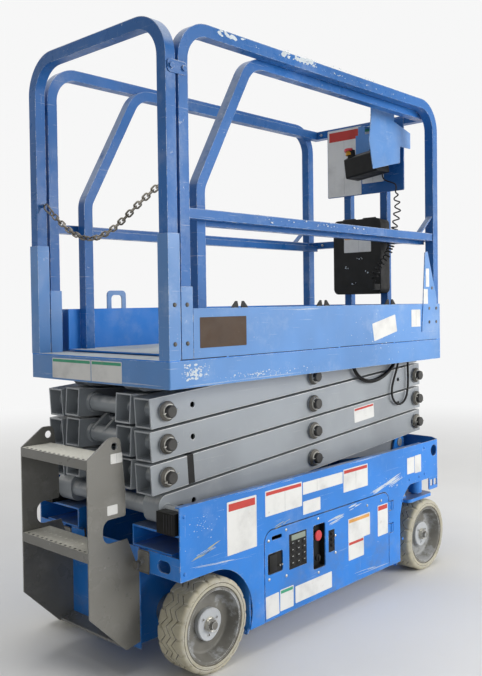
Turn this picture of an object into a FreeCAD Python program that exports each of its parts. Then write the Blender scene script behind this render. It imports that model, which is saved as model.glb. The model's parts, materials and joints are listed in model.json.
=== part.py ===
import FreeCAD, Part
import math
import os
import re
from types import SimpleNamespace
from FreeCAD import Placement, Rotation, Vector

# Electric scissor lift, stowed. Millimetres, +X towards the steered wheels, +Y left, +Z up,
# origin on the floor under the middle of the machine.

os.makedirs("parts", exist_ok=True)
doc = FreeCAD.newDocument("ScissorLift")

# alias, value or formula, what it sets
SIZE_TABLE = [
    ("wheelbase", 1320, "rear axle to front axle"),
    ("rear_overhang", 148, "rear axle to the rear edge of the side plates"),
    ("front_overhang", 145, "front axle to the foremost face"),
    ("rear_axle_x", "=-(wheelbase + front_overhang + rear_overhang + ladder_depth)/2 + rear_overhang + ladder_depth", ""),
    ("front_axle_x", "=rear_axle_x + wheelbase", ""),
    ("chassis_rear_x", "=rear_axle_x - rear_overhang", ""),
    ("front_x", "=front_axle_x + front_overhang", "foremost face of the chassis and the platform"),
    ("wheel_dia", 305, "outside of the solid tyre"),
    ("tyre_width", 114, "tyre across"),
    ("tyre_depth", 31.5, "tread to the rim"),
    ("rim_lip_dia", "=wheel_dia - 2*tyre_depth", "rim outside, seat of the tyre"),
    ("rim_recess", 42, "outer face of the wheel to its disc"),
    ("hub_radius", 44, "boss of the wheel disc"),
    ("stub_radius", 23, "wheel stubs"),
    ("chassis_width", 762, "outside of the side plates and of the tyres"),
    ("plate_wall", 5, "side and end plates"),
    ("nose_length", 173, "front wrap plate, along the side"),
    ("seam_x", "=front_x - nose_length", "side plate to front wrap plate"),
    ("wrap_cut_x", 43, "front corner taper, along the machine"),
    ("wrap_cut_y", 51, "front corner taper, across the machine"),
    ("wrap_bend", 25, "bend radius of the front corners"),
    ("tie_hole_radius", 25, "tie-down holes"),
    ("tie_hole_back", 79, "front face to the tie-down holes"),
    ("tie_hole_drop", 45, "top of the chassis to the tie-down holes"),
    ("arch_clear", 25, "rear wheel to its arch"),
    ("rear_skirt_z", "=wheel_dia + arch_clear", "lower edge of the side plate over the rear wheel"),
    ("yoke_clear", 10, "steered wheel to the yoke over it"),
    ("yoke_low_z", "=wheel_dia + yoke_clear", "underside of the steer yoke plate"),
    ("yoke_plate", 14, "steer yoke plate"),
    ("steer_lug", 9, "raised end of the steer yoke plate"),
    ("tie_rod_high", 18, "tie rod, upright"),
    ("front_skirt_z", "=channel_low_z - 3", "lower edge of the plates over the front wheel"),
    ("channel_low_z", "=yoke_low_z + 87", "bottom of the slide channels"),
    ("channel_high", 70, "slide channels"),
    ("channel_top_z", "=channel_low_z + channel_high", "running face of the slide channels"),
    ("channel_lip", 40, "lower flange of the slide channels, short of the side plate"),
    ("belly_z", 88, "lower edge of the side plates between the wheels"),
    ("bay_depth", 227, "side plate to the central web"),
    ("web_y", "=chassis_width/2 - bay_depth", "outer face of the central webs"),
    ("web_wall", 6, "central webs and channels"),
    ("web_low_z", 70, "bottom of the central webs"),
    ("bay_rear_gap", "=wheel_dia/2 + 17.5", "rear axle to the rear wall of the side bays"),
    ("bay_front_gap", "=wheel_dia/2 + 67.5", "front wall of the side bays to the front axle"),
    ("bay_rear_x", "=rear_axle_x + bay_rear_gap", "rear wall of the side bays"),
    ("bay_front_x", "=front_axle_x - bay_front_gap", "front wall of the side bays"),
    ("door_rear_x", "=bay_rear_x + 72", "tray door, rear edge"),
    ("hinge_x", "=bay_front_x - 62", "tray hinge line"),
    ("door_front_x", "=hinge_x - 23", "tray door, front edge"),
    ("door_top_z", "=channel_low_z - 2", "tray door, top edge"),
    ("door_radius", 40, "tray door, top corners"),
    ("door_gap", 4, "gap round a tray door"),
    ("hinge_pin", 2.5, "tray hinge pin radius"),
    ("knuckle_radius", 8, "tray hinge knuckles"),
    ("knuckle_high", 36, "tray hinge knuckles"),
    ("knuckle_pitch", 93, "lower to upper tray hinge"),
    ("upper_hinge_z", "=door_top_z - knuckle_drop", "upper tray hinge"),
    ("knuckle_drop", 62, "top of a door to its upper hinge"),
    ("tray_clear", 12, "trays to the central web"),
    ("kingpin_y", "=chassis_width/2 - tyre_width/2", "kingpins, over the middle of the tyres"),
    ("kingpin_radius", 18, "kingpin"),
    ("steer_arm", 120, "kingpin to tie rod pin"),
    ("tie_pin_radius", 9, "tie rod pins"),
    ("guard_y", "=chassis_width/2 - 31", "pothole guard pivots"),
    ("guard_z", 78, "pothole guard pivots"),
    ("guard_pivot", 7, "pothole guard pivot radius"),
    ("guard_depth", 60, "pothole guard, folded"),
    ("arm_front_gap", 59, "front pins of the scissor arms to the foremost face"),
    ("arm_front_x", "=front_x - arm_front_gap", "front pins of the scissor arms"),
    ("arm_rear_gap", 44, "rear edge of the side plates to the rear pins"),
    ("arm_rear_x", "=chassis_rear_x + arm_rear_gap", "rear pins of the scissor arms, stowed"),
    ("arm_base_z", "=channel_top_z + 59", "lowest pins"),
    ("chassis_top_z", "=arm_base_z + 31", "top of the side plates"),
    ("arm_depth", 96, "arm tube, upright"),
    ("arm_stack_gap", 9, "stowed arm to the next, along the pins"),
    ("arm_pitch", "=arm_depth + arm_stack_gap", "rise of a stowed arm from pin to pin"),
    ("arm_width", 77, "arm tube, across"),
    ("arm_wall", 5, "arm tube wall"),
    ("inner_arm_y", "=chassis_width/3 - 153", "inner face of the inner arms"),
    ("arm_side_gap", 20, "inner arm to outer arm"),
    ("outer_arm_y", "=inner_arm_y + arm_width + arm_side_gap", "inner face of the outer arms"),
    ("arm_rear_tip", 64, "rear pins to the open tube ends"),
    ("arm_front_tip", 40, "front pins to the tube ends"),
    ("arm_round_tip", 34, "end pins to the rounded ends"),
    ("arm_hole_radius", 10, "holes through the outer arms"),
    ("arm_hole_rear", 117, "rear pins to the holes through the outer arms"),
    ("arm_hole_front", 141, "front pins to the holes through the outer arms"),
    ("pin_radius", 19, "arm pins"),
    ("pin_clear", 0.4, "radial clearance of the pins"),
    ("pin_cap_radius", 30, "washer on a pin's end"),
    ("pin_cap", 7, "washer thickness"),
    ("pin_tail", 20, "pin beyond its washer"),
    ("washer_gap", 0.5, "arm to its washers"),
    ("cross_tube_radius", 28, "cross tubes between the inner arms"),
    ("collar_radius", 34, "collars on the cross tubes"),
    ("collar_width", 16, "collars on the cross tubes"),
    ("block_gap", 10, "outer arms to the slide blocks"),
    ("ear_x", 58, "cylinder ear pin ahead of the cross tube"),
    ("ear_z", 46, "cylinder ear pin above the cross tube"),
    ("ear_sheet", 12, "cylinder ears"),
    ("cylinder_y", "=inner_arm_y - 56", "lift cylinder to the left of the middle"),
    ("barrel_gap", 146, "cylinder base pin to the front arm pins"),
    ("barrel_x", "=arm_front_x - barrel_gap", "cylinder base pin"),
    ("barrel_z", "=arm_base_z + 14", "cylinder base pin"),
    ("barrel_radius", 38, "cylinder barrel"),
    ("lift_rod_radius", 24, "cylinder rod"),
    ("eye_radius", 27, "cylinder eyes"),
    ("eye_width", 40, "cylinder eyes"),
    ("eye_pin_radius", 14, "cylinder pins"),
    ("platform_overhang", 27, "side plates' rear edge to the platform's"),
    ("platform_rear_x", "=chassis_rear_x - platform_overhang", "rear edge of the platform"),
    ("platform_inset", 6, "side plates to the platform's sides"),
    ("platform_width", "=chassis_width - 2*platform_inset", "platform across"),
    ("skirt_low_z", "=arm_base_z + 4*arm_pitch - 27", "bottom of the platform skirt"),
    ("skirt_high", 84, "platform skirt"),
    ("deck_z", "=skirt_low_z + skirt_high + deck_sheet", "top of the main deck"),
    ("deck_sheet", 4, "deck and skirt sheet"),
    ("toe_high", 158, "toe panels above the deck"),
    ("toe_top_z", "=deck_z + toe_high", "top of the toe panels"),
    ("rail_tube", 40, "main guard rail tube"),
    ("rail_wall", 3, "guard rail tube wall"),
    ("rail_y", "=platform_width/2 - deck_sheet - rail_tube/2", "main guard rail from the middle"),
    ("rail_high", 1053, "side rails above the deck"),
    ("rail_top_z", "=deck_z + rail_high", "top of the side rails"),
    ("rail_bend", 110, "bend radius of the rails"),
    ("rail_rear_x", "=platform_rear_x + 77", "rear post of the side rails"),
    ("rail_front_x", "=front_x - 32", "front post of the side rails"),
    ("mid_rail_high", 455, "mid rails above the deck"),
    ("mid_rail_z", "=deck_z + mid_rail_high", "middle of the mid rails"),
    ("mid_rail_tube", 32, "mid rail tube"),
    ("arch_x", "=platform_rear_x + 25", "posts of the entry arch"),
    ("arch_rise", 13, "entry arch above the side rails"),
    ("arch_top_z", "=rail_top_z + arch_rise", "top of the entry arch"),
    ("arch_socket_high", 388, "entry arch sockets above the deck"),
    ("rail_socket_high", 226, "side rail sockets above the deck"),
    ("socket_wall", 4, "socket wall"),
    ("ext_tube", 38, "extension rail tube"),
    ("ext_side_gap", 50, "extension toe boards to the platform's side"),
    ("ext_board_y", "=platform_width/2 - ext_side_gap", "outer face of the extension toe boards"),
    ("ext_y", "=ext_board_y - deck_sheet - ext_tube/2", "extension rails from the middle"),
    ("ext_drop", 30, "extension rails below the side rails"),
    ("ext_top_z", "=rail_top_z - ext_drop", "top of the extension rails"),
    ("ext_rear_x", "=platform_rear_x + 125", "rear edge of the extension deck"),
    ("ext_leg_x", "=ext_rear_x + 70", "rear leg of the extension rails"),
    ("ext_lean", 250, "lean of the rear leg, along the machine"),
    ("ext_knee_rise", 98, "mid rails to where the rear leg leans forward"),
    ("ext_lift", 5, "extension deck above the main deck"),
    ("front_gap", 2, "front toe board behind the foremost face"),
    ("post_y", 103, "front posts from the middle"),
    ("board_low", 340, "bottom of the control board below the extension rails"),
    ("ladder_y", 185, "outer face of the ladder plates"),
    ("ladder_depth", 197, "rear edge of the side plates to the rear edge of the ladder"),
    ("ladder_rear_x", "=chassis_rear_x - ladder_depth", "rear edge of the ladder"),
    ("ladder_low_z", 85, "bottom of the ladder"),
    ("step_top_z", 712, "upper step"),
    ("step_low_z", 426, "lower step"),
    ("step_lip", 30, "folded edges of the steps"),
    ("lug_hole_radius", 12.5, "holes in the ladder plates' lugs"),
    ("chain_radius", 5, "entry chain"),
    ("coil_radius", 18, "coiled cord"),
    ("hose_radius", 9, "hose bundle under the platform"),
    ("cable_radius", 5, "cable under the platform"),
    ("run_clear", 0.3, "clearance of what slides or seats"),
]

sheet = doc.addObject("Spreadsheet::Sheet", "Sizes")
for row, (alias, value, note) in enumerate(SIZE_TABLE, start=1):
    sheet.set(f"A{row}", note or alias)
    sheet.setAlias(f"B{row}", alias)
for row, (alias, value, note) in enumerate(SIZE_TABLE, start=1):
    sheet.set(f"B{row}", str(value))
doc.recompute()

ALIASES = {alias for alias, value, note in SIZE_TABLE}
S = SimpleNamespace(**{alias: float(sheet.get(alias)) for alias, value, note in SIZE_TABLE})

S.axle_z = S.wheel_dia / 2
S.side_y = S.chassis_width / 2
S.deck_y = S.platform_width / 2
S.arm_span = S.arm_front_x - S.arm_rear_x
S.arm_length = math.hypot(S.arm_span, S.arm_pitch)
S.arm_angle = math.degrees(math.atan2(S.arm_pitch, S.arm_span))
S.top_pin_z = S.arm_base_z + 4 * S.arm_pitch
S.ext_low_z = S.deck_z + S.ext_lift
S.hinge_heights = (S.upper_hinge_z - S.knuckle_pitch, S.upper_hinge_z)

nodes = []


def bound_text(text):
    """Writes an alias as the sheet's cell in an expression."""
    return re.sub(r"[a-z][a-z_]*", lambda m: "Sizes." + m.group() if m.group() in ALIASES else m.group(),
                  str(text))


def bind(obj, **fields):
    """Binds properties to expressions of the sheet's aliases."""
    for field, text in fields.items():
        obj.setExpression(field.replace("__", "."), bound_text(text))


def place(obj, at):
    """Binds a placement's base to three expressions."""
    for axis, text in zip("xyz", at):
        obj.setExpression("Placement.Base." + axis, bound_text(text))
    return obj


def node(obj, label):
    """Names a sub-part, which is then a file."""
    obj.Label = label
    nodes.append(obj)
    return obj


def box(name, low, high):
    """A block between two corners."""
    obj = doc.addObject("Part::Box", name)
    spans = [f"({high[k]})-({low[k]})" for k in range(3)]
    bind(obj, Length=spans[0], Width=spans[1], Height=spans[2])
    return place(obj, low)


TURNS = {
    "X": Rotation(Vector(0, 1, 0), 90),
    "Y": Rotation(Vector(1, 0, 0), -90),
    "Z": Rotation(),
}


def rod(name, axis, at, radius, length):
    """A round bar from a point along an axis."""
    obj = doc.addObject("Part::Cylinder", name)
    obj.Placement = Placement(Vector(), TURNS[axis])
    bind(obj, Radius=radius, Height=length)
    return place(obj, at)


def fuse(name, parts):
    obj = doc.addObject("Part::MultiFuse", name)
    obj.Shapes = parts
    return obj


def cut(name, base, tools):
    tool = tools[0] if len(tools) == 1 else fuse(name + "_tools", tools)
    obj = doc.addObject("Part::Cut", name)
    obj.Base = base
    obj.Tool = tool
    return obj


def group(name, parts):
    obj = doc.addObject("Part::Compound", name)
    obj.Links = parts
    return obj


def mirror(name, source):
    """The same piece on the other side of the machine."""
    obj = doc.addObject("Part::Mirroring", name)
    obj.Source = source
    obj.Normal = Vector(0, 1, 0)
    return obj


def both(name, source):
    """A piece and its mirror image as two solids."""
    return group(name, [source, mirror(name + "_left", source)])


def origin_plane(body, role):
    return [item for item in body.Origin.OriginFeatures if item.Role == role][0]


def flat_sketch(body, name, plane, offset=None):
    sketch = body.newObject("Sketcher::SketchObject", name)
    sketch.AttachmentSupport = [(origin_plane(body, plane), "")]
    sketch.MapMode = "FlatFace"
    if offset:
        sketch.AttachmentOffset = Placement(offset, Rotation())
    return sketch


def rounded(points, closed):
    """Lines and tangent arcs through (u, v) or (u, v, radius) corners. ("via", u, v) bends a side."""
    edges = []
    corners = [p for p in points if p[0] != "via"]
    count = len(corners)
    bends = {}
    index = -1
    for point in points:
        if point[0] == "via":
            bends[index] = Vector(point[1], point[2], 0)
        else:
            index += 1
    ends = []
    for k, corner in enumerate(corners):
        here = Vector(corner[0], corner[1], 0)
        radius = corner[2] if len(corner) > 2 else 0
        if radius == 0 or (not closed and k in (0, count - 1)):
            ends.append((here, here, None))
            continue
        back = Vector(*corners[k - 1][:2], 0) - here
        ahead = Vector(*corners[(k + 1) % count][:2], 0) - here
        half = back.getAngle(ahead) / 2
        reach = radius / math.tan(half)
        back.normalize()
        ahead.normalize()
        centre = here + (back + ahead).normalize() * (radius / math.sin(half))
        middle = centre + (here - centre).normalize() * radius
        ends.append((here + back * reach, here + ahead * reach, middle))
    for k in range(count):
        start, stop, middle = ends[k]
        if middle:
            edges.append(Part.Arc(start, middle, stop))
        if k == count - 1 and not closed:
            break
        following = ends[(k + 1) % count][0]
        if k in bends:
            edges.append(Part.Arc(stop, bends[k], following))
        elif (following - stop).Length > 1e-6:
            edges.append(Part.LineSegment(stop, following))
    return edges


def draw(sketch, points, closed=True):
    for edge in rounded(points, closed):
        sketch.addGeometry(edge, False)


def circle(u, v, radius):
    """A round hole as an outline."""
    return ("circle", u, v, radius)


def plate(name, plane, outline, thick, at, holes=()):
    """A plate padded to both sides of a plane through its middle."""
    body = doc.addObject("PartDesign::Body", name)
    sketch = flat_sketch(body, name + "_outline", plane)
    draw(sketch, outline)
    for hole in holes:
        if hole[0] == "circle":
            sketch.addGeometry(Part.Circle(Vector(hole[1], hole[2], 0), Vector(0, 0, 1), hole[3]), False)
        else:
            draw(sketch, hole)
    pad = body.newObject("PartDesign::Pad", name + "_pad")
    pad.Profile = sketch
    pad.Midplane = True
    bind(pad, Length=thick)
    return place(body, at)


def ring_plate(points_u, points_v, radius=0):
    """A rectangle as an outline."""
    (low_u, high_u), (low_v, high_v) = points_u, points_v
    return [(low_u, low_v, radius), (high_u, low_v, radius), (high_u, high_v, radius), (low_u, high_v, radius)]


def square(half):
    return [(-half, -half), (half, -half), (half, half), (-half, half)]


def bent_tube(name, plane, path, side, wall, at):
    """Square tube along a bent path whose first run is upright or level."""
    body = doc.addObject("PartDesign::Body", name)
    spine = flat_sketch(body, name + "_path", plane)
    edges = rounded(path, False)
    for edge in edges:
        spine.addGeometry(edge, False)
    u, v = path[0][:2]
    upright = abs(path[1][0] - u) < abs(path[1][1] - v)
    if plane == "XZ_Plane":
        section = ("XY_Plane", Vector(u, 0, v)) if upright else ("YZ_Plane", Vector(0, v, u))
    else:
        section = ("XY_Plane", Vector(0, u, v)) if upright else ("XZ_Plane", Vector(0, v, -u))
    profile = flat_sketch(body, name + "_section", section[0], section[1])
    draw(profile, square(side / 2))
    draw(profile, square(side / 2 - wall))
    pipe = body.newObject("PartDesign::AdditivePipe", name + "_tube")
    pipe.Profile = profile
    pipe.Spine = (spine, [f"Edge{k + 1}" for k in range(len(edges))])
    return place(body, at)


def turned(name, profile, at, axis="Y"):
    """A body turned about its own Y or Z axis from (radius, height) points."""
    body = doc.addObject("PartDesign::Body", name)
    plane = "XY_Plane" if axis == "Y" else "XZ_Plane"
    sketch = flat_sketch(body, name + "_profile", plane)
    draw(sketch, profile)
    turn = body.newObject("PartDesign::Revolution", name + "_turn")
    turn.Profile = sketch
    turn.ReferenceAxis = (sketch, ["V_Axis"])
    turn.Angle = 360
    return place(body, at)


# Chassis frame

def chassis_webs():
    """Two upright webs along the middle, joined by the belly pan, open over the steer linkage."""
    low = S.web_low_z
    rear, front = S.chassis_rear_x + S.plate_wall, S.front_x - 2 * S.plate_wall
    window = ring_plate((S.front_axle_x - 160, S.front_axle_x + 100), (S.yoke_low_z - 35, S.channel_low_z - 10), 12)
    web = plate("web", "XZ_Plane", ring_plate((rear, front), (low, S.channel_low_z)), "web_wall",
                ("0", "-web_y + web_wall/2", "0"), [window])
    drains = [circle(S.rear_axle_x + S.wheelbase * share, 0, 45) for share in (0.1, 0.32, 0.54, 0.76)]
    pan = plate("pan", "XY_Plane", ring_plate((rear, front), (S.web_wall - S.web_y, S.web_y - S.web_wall)),
                "web_wall", ("0", "0", "web_low_z + web_wall/2"), drains)
    node(fuse("chassis_webs_shape", [web, mirror("web_left", web), pan]), "chassis_webs")


def slide_channels():
    """Channels open outwards. The lower slide blocks run on their top faces."""
    inner, outer = S.web_wall - S.web_y, S.plate_wall - S.side_y
    low, top, wall = S.channel_low_z, S.channel_top_z, S.web_wall
    lip = outer + S.channel_lip
    section = [(inner, low), (inner, top), (outer, top), (outer, top - wall), (-S.web_y, top - wall),
               (-S.web_y, low + wall), (lip, low + wall), (lip, low)]
    front = "arm_front_x - 14"
    channel = plate("channel", "YZ_Plane", section, f"{front} - chassis_rear_x - plate_wall",
                    (f"({front} + chassis_rear_x + plate_wall)/2", "0", "0"))
    node(both("slide_channels_shape", channel), "slide_channels")


def end_walls():
    """Walls across the side bays, and the plates that close the rear."""
    outer, inner = S.plate_wall - S.side_y, -S.web_y
    bay = ring_plate((outer, inner), (S.belly_z, S.channel_low_z))
    slot_mid = (S.channel_low_z + S.rear_skirt_z) / 2 - 2
    rear = ring_plate((outer, outer + 153), (S.rear_skirt_z, S.channel_low_z))
    slot = ring_plate((outer + 40, outer + 100), (slot_mid - 19, slot_mid + 19), 18)
    walls = [
        plate("bay_rear", "YZ_Plane", bay, "plate_wall", ("bay_rear_x", "0", "0")),
        plate("bay_front", "YZ_Plane", bay, "plate_wall", ("bay_front_x", "0", "0")),
        plate("rear_closer", "YZ_Plane", rear, "plate_wall", ("chassis_rear_x + plate_wall/2", "0", "0"), [slot]),
    ]
    middle = plate("rear_middle", "YZ_Plane", ring_plate((-S.ladder_y, S.ladder_y), (S.web_low_z, S.channel_low_z)),
                   "plate_wall", ("chassis_rear_x + plate_wall/2", "0", "0"),
                   [ring_plate((-70, 60), (S.belly_z + 40, S.channel_low_z - 90), 30)])
    y, z = S.guard_y, S.guard_z
    pivot = circle(-y, z, S.guard_pivot + S.pin_clear)
    for k, x in enumerate(("bay_rear_x", "bay_front_x")):
        ear = plate(f"guard_ear{k}", "YZ_Plane",
                    [(-y - 16, z - 12, 8), (-y + 16, z - 12, 8), (-y + 16, S.belly_z + 4), (-y - 16, S.belly_z + 4)],
                    "plate_wall", (x, "0", "0"), [pivot])
        walls[k] = fuse(f"bay_wall{k}", [walls[k], ear])
    parts = walls + [mirror(wall.Name + "_left", wall) for wall in walls]
    node(group("end_walls_shape", parts + [middle]), "end_walls")


def side_plate(name):
    """Side plate with the rear wheel arch and the opening that the tray door closes."""
    arch = S.axle_z + S.arch_clear
    gap = S.door_gap
    arch_foot = S.rear_axle_x + math.sqrt(arch ** 2 - (S.axle_z - S.belly_z) ** 2)
    lean = math.radians(50)
    nose = S.bay_front_x + 3
    rise = S.front_skirt_z
    outline = [
        (S.chassis_rear_x, S.rear_skirt_z),
        (S.rear_axle_x, S.axle_z + arch),
        ("via", S.rear_axle_x + arch * math.cos(lean), S.axle_z + arch * math.sin(lean)),
        (arch_foot, S.belly_z),
        (S.door_rear_x - gap, S.belly_z),
        (S.door_rear_x - gap, S.door_top_z + gap, S.door_radius + gap),
        (S.door_front_x + gap, S.door_top_z + gap, S.door_radius + gap),
        (S.door_front_x + gap, S.belly_z),
        (nose, S.belly_z),
        (nose, rise - 119, 20),
        (nose + 24, rise - 44, 40),
        (nose + 77, rise, 40),
        (S.seam_x, rise),
        (S.seam_x, S.chassis_top_z),
        (S.chassis_rear_x, S.chassis_top_z),
    ]
    return plate(name + "_skin", "XZ_Plane", outline, "plate_wall", ("0", "-chassis_width/2 + plate_wall/2", "0"))


def side_plates():
    skin = side_plate("side")
    flange = box("side_flange", ("chassis_rear_x", "-chassis_width/2 + plate_wall", "chassis_top_z - plate_wall"),
                 ("seam_x", "-chassis_width/2 + plate_wall + 16", "chassis_top_z"))
    windows, pins = [], []
    for k, height in enumerate(S.hinge_heights):
        windows.append(box(f"hinge_window{k}",
                           ("door_front_x + door_gap - 1", "-chassis_width/2 - 1", f"{height} - knuckle_high/2 - 3"),
                           ("hinge_x + knuckle_radius + 6", "-chassis_width/2 + plate_wall + 1",
                            f"{height} + knuckle_high/2 + 3")))
        pins.append(rod(f"hinge_pin{k}", "Z", ("hinge_x", "-chassis_width/2 + plate_wall/2",
                                               f"{height} - knuckle_high/2 - 10"), "hinge_pin", "knuckle_high + 20"))
    opened = cut("side_opened", fuse("side_solid", [skin, flange]), windows)
    right = fuse("side_plate_right_shape", [opened] + pins)
    node(right, "side_plate_right")
    node(mirror("side_plate_left_shape", right), "side_plate_left")


def front_wrap():
    """Front plate that wraps round both front corners over the steered wheels."""
    wall = S.plate_wall
    side, front = S.side_y, S.front_x
    corner_x, corner_y = front - S.wrap_cut_x, side - S.wrap_cut_y
    # the inner outline lies one wall inside, so its corners move by the tangent of the half turn
    turn = math.atan2(S.wrap_cut_y, S.wrap_cut_x)
    side_shift = wall * math.tan(turn / 2)
    front_shift = wall * math.tan((math.pi / 2 - turn) / 2)
    bend = S.wrap_bend
    outer = [(S.seam_x, -side), (corner_x, -side, bend), (front, -corner_y, bend),
             (front, corner_y, bend), (corner_x, side, bend), (S.seam_x, side)]
    inner = [(S.seam_x, side - wall), (corner_x - side_shift, side - wall, bend - wall),
             (front - wall, corner_y - front_shift, bend - wall),
             (front - wall, front_shift - corner_y, bend - wall),
             (corner_x - side_shift, wall - side, bend - wall), (S.seam_x, wall - side)]
    wrap = plate("wrap", "XY_Plane", outer + inner, "chassis_top_z - front_skirt_z",
                 ("0", "0", "(chassis_top_z + front_skirt_z)/2"))
    holes = rod("tie_hole", "Y", ("front_x - tie_hole_back", "-chassis_width", "chassis_top_z - tie_hole_drop"),
                "tie_hole_radius", "2*chassis_width")
    apron = plate("apron", "YZ_Plane", [(-190, 120, 30), (190, 120, 30), (190, S.front_skirt_z + 20, 10),
                                        (-190, S.front_skirt_z + 20, 10)],
                  "plate_wall", ("front_x - 1.5*plate_wall", "0", "0"), [ring_plate((-60, 60), (190, 260), 20)])
    seat = side - 21
    low = S.front_skirt_z - 62
    tab = plate("corner_tab", "XZ_Plane", ring_plate((front - 88, front - 14), (low, S.front_skirt_z + 30), 6),
                "plate_wall", ("0", f"-{seat}", "0"),
                [ring_plate((front - 78, front - 54), (low + 16, low + 44), 3),
                 ring_plate((front - 46, front - 22), (low + 16, low + 44), 3)])
    node(group("front_wrap_shape", [cut("wrap_cut", wrap, [holes]), apron, tab, mirror("corner_tab_left", tab)]),
         "front_wrap")


def brackets():
    """Brackets for the lowest front pins, the kingpins and the lift cylinder's foot."""
    low, top = S.channel_top_z, S.arm_base_z + 34
    x = S.arm_front_x
    middle = "-(inner_arm_y + arm_width + arm_side_gap/2)"
    ear = plate("pin_bracket", "XZ_Plane",
                [(x - 60, low), (x + 46, low), (x + 34, top, 30), (x - 34, top, 30)], "8",
                ("0", middle, "0"), [circle(x, S.arm_base_z, S.pin_radius + S.pin_clear)])
    seat_low = "yoke_low_z + yoke_plate + 6"
    seat = rod("kingpin_seat", "Z", ("front_axle_x", "-kingpin_y", seat_low), "kingpin_radius + 12",
               f"channel_low_z - ({seat_low})")
    bore = rod("kingpin_bore", "Z", ("front_axle_x", "-kingpin_y", "yoke_low_z"), "kingpin_radius + pin_clear",
               "channel_low_z - yoke_low_z")
    arm = box("kingpin_arm", ("front_axle_x - 30", "-kingpin_y", "yoke_low_z + yoke_plate + 20"),
              ("front_axle_x + 30", "-web_y", "channel_low_z"))
    carrier = cut("kingpin_carrier", fuse("kingpin_block", [seat, arm]), [bore])
    x, z = S.barrel_x, S.barrel_z
    outline = [(x - 50, S.channel_low_z), (x + 50, S.channel_low_z), (x + 26, z + 24, 22), (x - 26, z + 24, 22)]
    feet = [plate(f"cylinder_foot{k}", "XZ_Plane", outline, "10", ("0", f"cylinder_y + {side}*(eye_width/2 + 7)", "0"),
                  [circle(x, z, S.eye_pin_radius + S.pin_clear)]) for k, side in enumerate((-1, 1))]
    beam = box("cylinder_beam", ("barrel_x - 50", "web_wall - web_y", "channel_low_z - 10"),
               ("barrel_x + 50", "web_y - web_wall", "channel_low_z"))
    node(group("axle_brackets_shape", [carrier, mirror("carrier_left", carrier)]), "kingpin_brackets")
    node(group("pin_brackets_shape", [ear, mirror("ear_left", ear), beam] + feet), "pin_brackets")


def ladder():
    """Fixed entry ladder: two notched plates, two folded steps and the foot across the bottom."""
    rear, back = S.ladder_rear_x, S.chassis_rear_x
    lug_x, top = back - 92, S.step_top_z + 58
    neck = back - 52
    notch_low, notch_top = S.step_low_z + 14, S.step_low_z + 90
    outline = [
        (rear, S.step_top_z), (rear, 223), (back - 57, S.ladder_low_z, 10), (back, S.ladder_low_z + 10),
        (back, 325, 20), (neck + 6, notch_low), (back - 142, notch_low, 30), (back - 142, notch_top, 30),
        (neck, notch_top, 8), (neck, S.step_top_z - 112, 10), (lug_x + 22, top, 22), (lug_x - 22, top, 22),
    ]
    side = plate("ladder_side", "XZ_Plane", outline, "plate_wall", ("0", "-ladder_y + plate_wall/2", "0"),
                 [circle(lug_x, top - 28, S.lug_hole_radius)])
    inner = "ladder_y - plate_wall"
    parts = [side, mirror("ladder_side_left", side)]
    for name, height, depth in (("step_top", "step_top_z", 115), ("step_low", "step_low_z", 105)):
        front = f"ladder_rear_x + {depth}"
        tread = box(name, ("ladder_rear_x", f"-({inner})", f"{height} - plate_wall"), (front, inner, height))
        edge = box(name + "_lip", ("ladder_rear_x", f"-({inner})", f"{height} - step_lip"),
                   ("ladder_rear_x + plate_wall", inner, height))
        rear_edge = box(name + "_rear", (f"{front} - plate_wall", f"-({inner})", f"{height} - step_lip"),
                        (front, inner, height))
        parts.append(fuse(name + "_folded", [tread, edge, rear_edge]))
    low = S.ladder_low_z
    foot = plate("ladder_foot", "XZ_Plane", [(back - 55, low + 2), (back, low + 12), (back, low + 20), (back - 55, low + 10)],
                 "2*ladder_y - 2*plate_wall", ("0", "0", "0"))
    cleat = plate("ladder_cleat", "YZ_Plane",
                  ring_plate((-S.ladder_y - 52, -S.ladder_y), (S.rear_skirt_z + 4, S.channel_low_z - 6), 6), "6",
                  ("chassis_rear_x - 3", "0", "0"))
    stud = rod("cleat_stud", "X", ("chassis_rear_x - 24", "-ladder_y - 28", "(rear_skirt_z + channel_low_z)/2"), "10", "20")
    bolted = fuse("cleat_bolted", [cleat, stud])
    node(group("ladder_shape", parts + [foot, bolted, mirror("cleat_left", bolted)]), "ladder")


# Running gear

def wheel(name, x, side):
    """Solid tyre and dished wheel. side is -1 on the right and 1 on the left."""
    rim_r = S.rim_lip_dia / 2
    tyre_r = S.wheel_dia / 2
    half = S.tyre_width / 2
    at = (x, f"{side}*kingpin_y", "wheel_dia/2")
    tyre = turned(name + "_tyre_body", [(rim_r, -half), (tyre_r - 8, -half, 6), (tyre_r, -half + 14, 10),
                                        (tyre_r, half - 14, 10), (tyre_r - 8, half, 6), (rim_r, half)], at)
    node(tyre, name + "_tyre")
    lip = half - 3
    disc = half - S.rim_recess
    hub, nut = S.hub_radius, S.stub_radius - 5
    profile = [(0, disc + 40), (nut - 5, disc + 40), (nut - 5, disc + 30), (nut, disc + 30), (nut, disc + 14),
               (hub - 6, disc + 14, 4), (hub, disc, 3), (rim_r - 26, disc - 4, 10), (rim_r - 12, lip - 8, 6),
               (rim_r - 8, lip), (rim_r, lip), (rim_r, -lip), (rim_r - 8, -lip), (rim_r - 12, -lip + 8, 6),
               (rim_r - 26, disc - 12, 10), (0, disc - 12)]
    turn = [(radius, side * out, *bend) for radius, out, *bend in profile]
    rim = turned(name + "_rim_dish", turn, at)
    lobe = rod(name + "_lobe", "Y", (f"{x} - hub_radius*0.8", f"{side}*(kingpin_y + {disc + 5 * (1 + side)}) - {5 * (1 + side)}",
                                     "wheel_dia/2 - 12"), "18", "10")
    node(fuse(name + "_rim_body", [rim, lobe]), name + "_rim")


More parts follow.
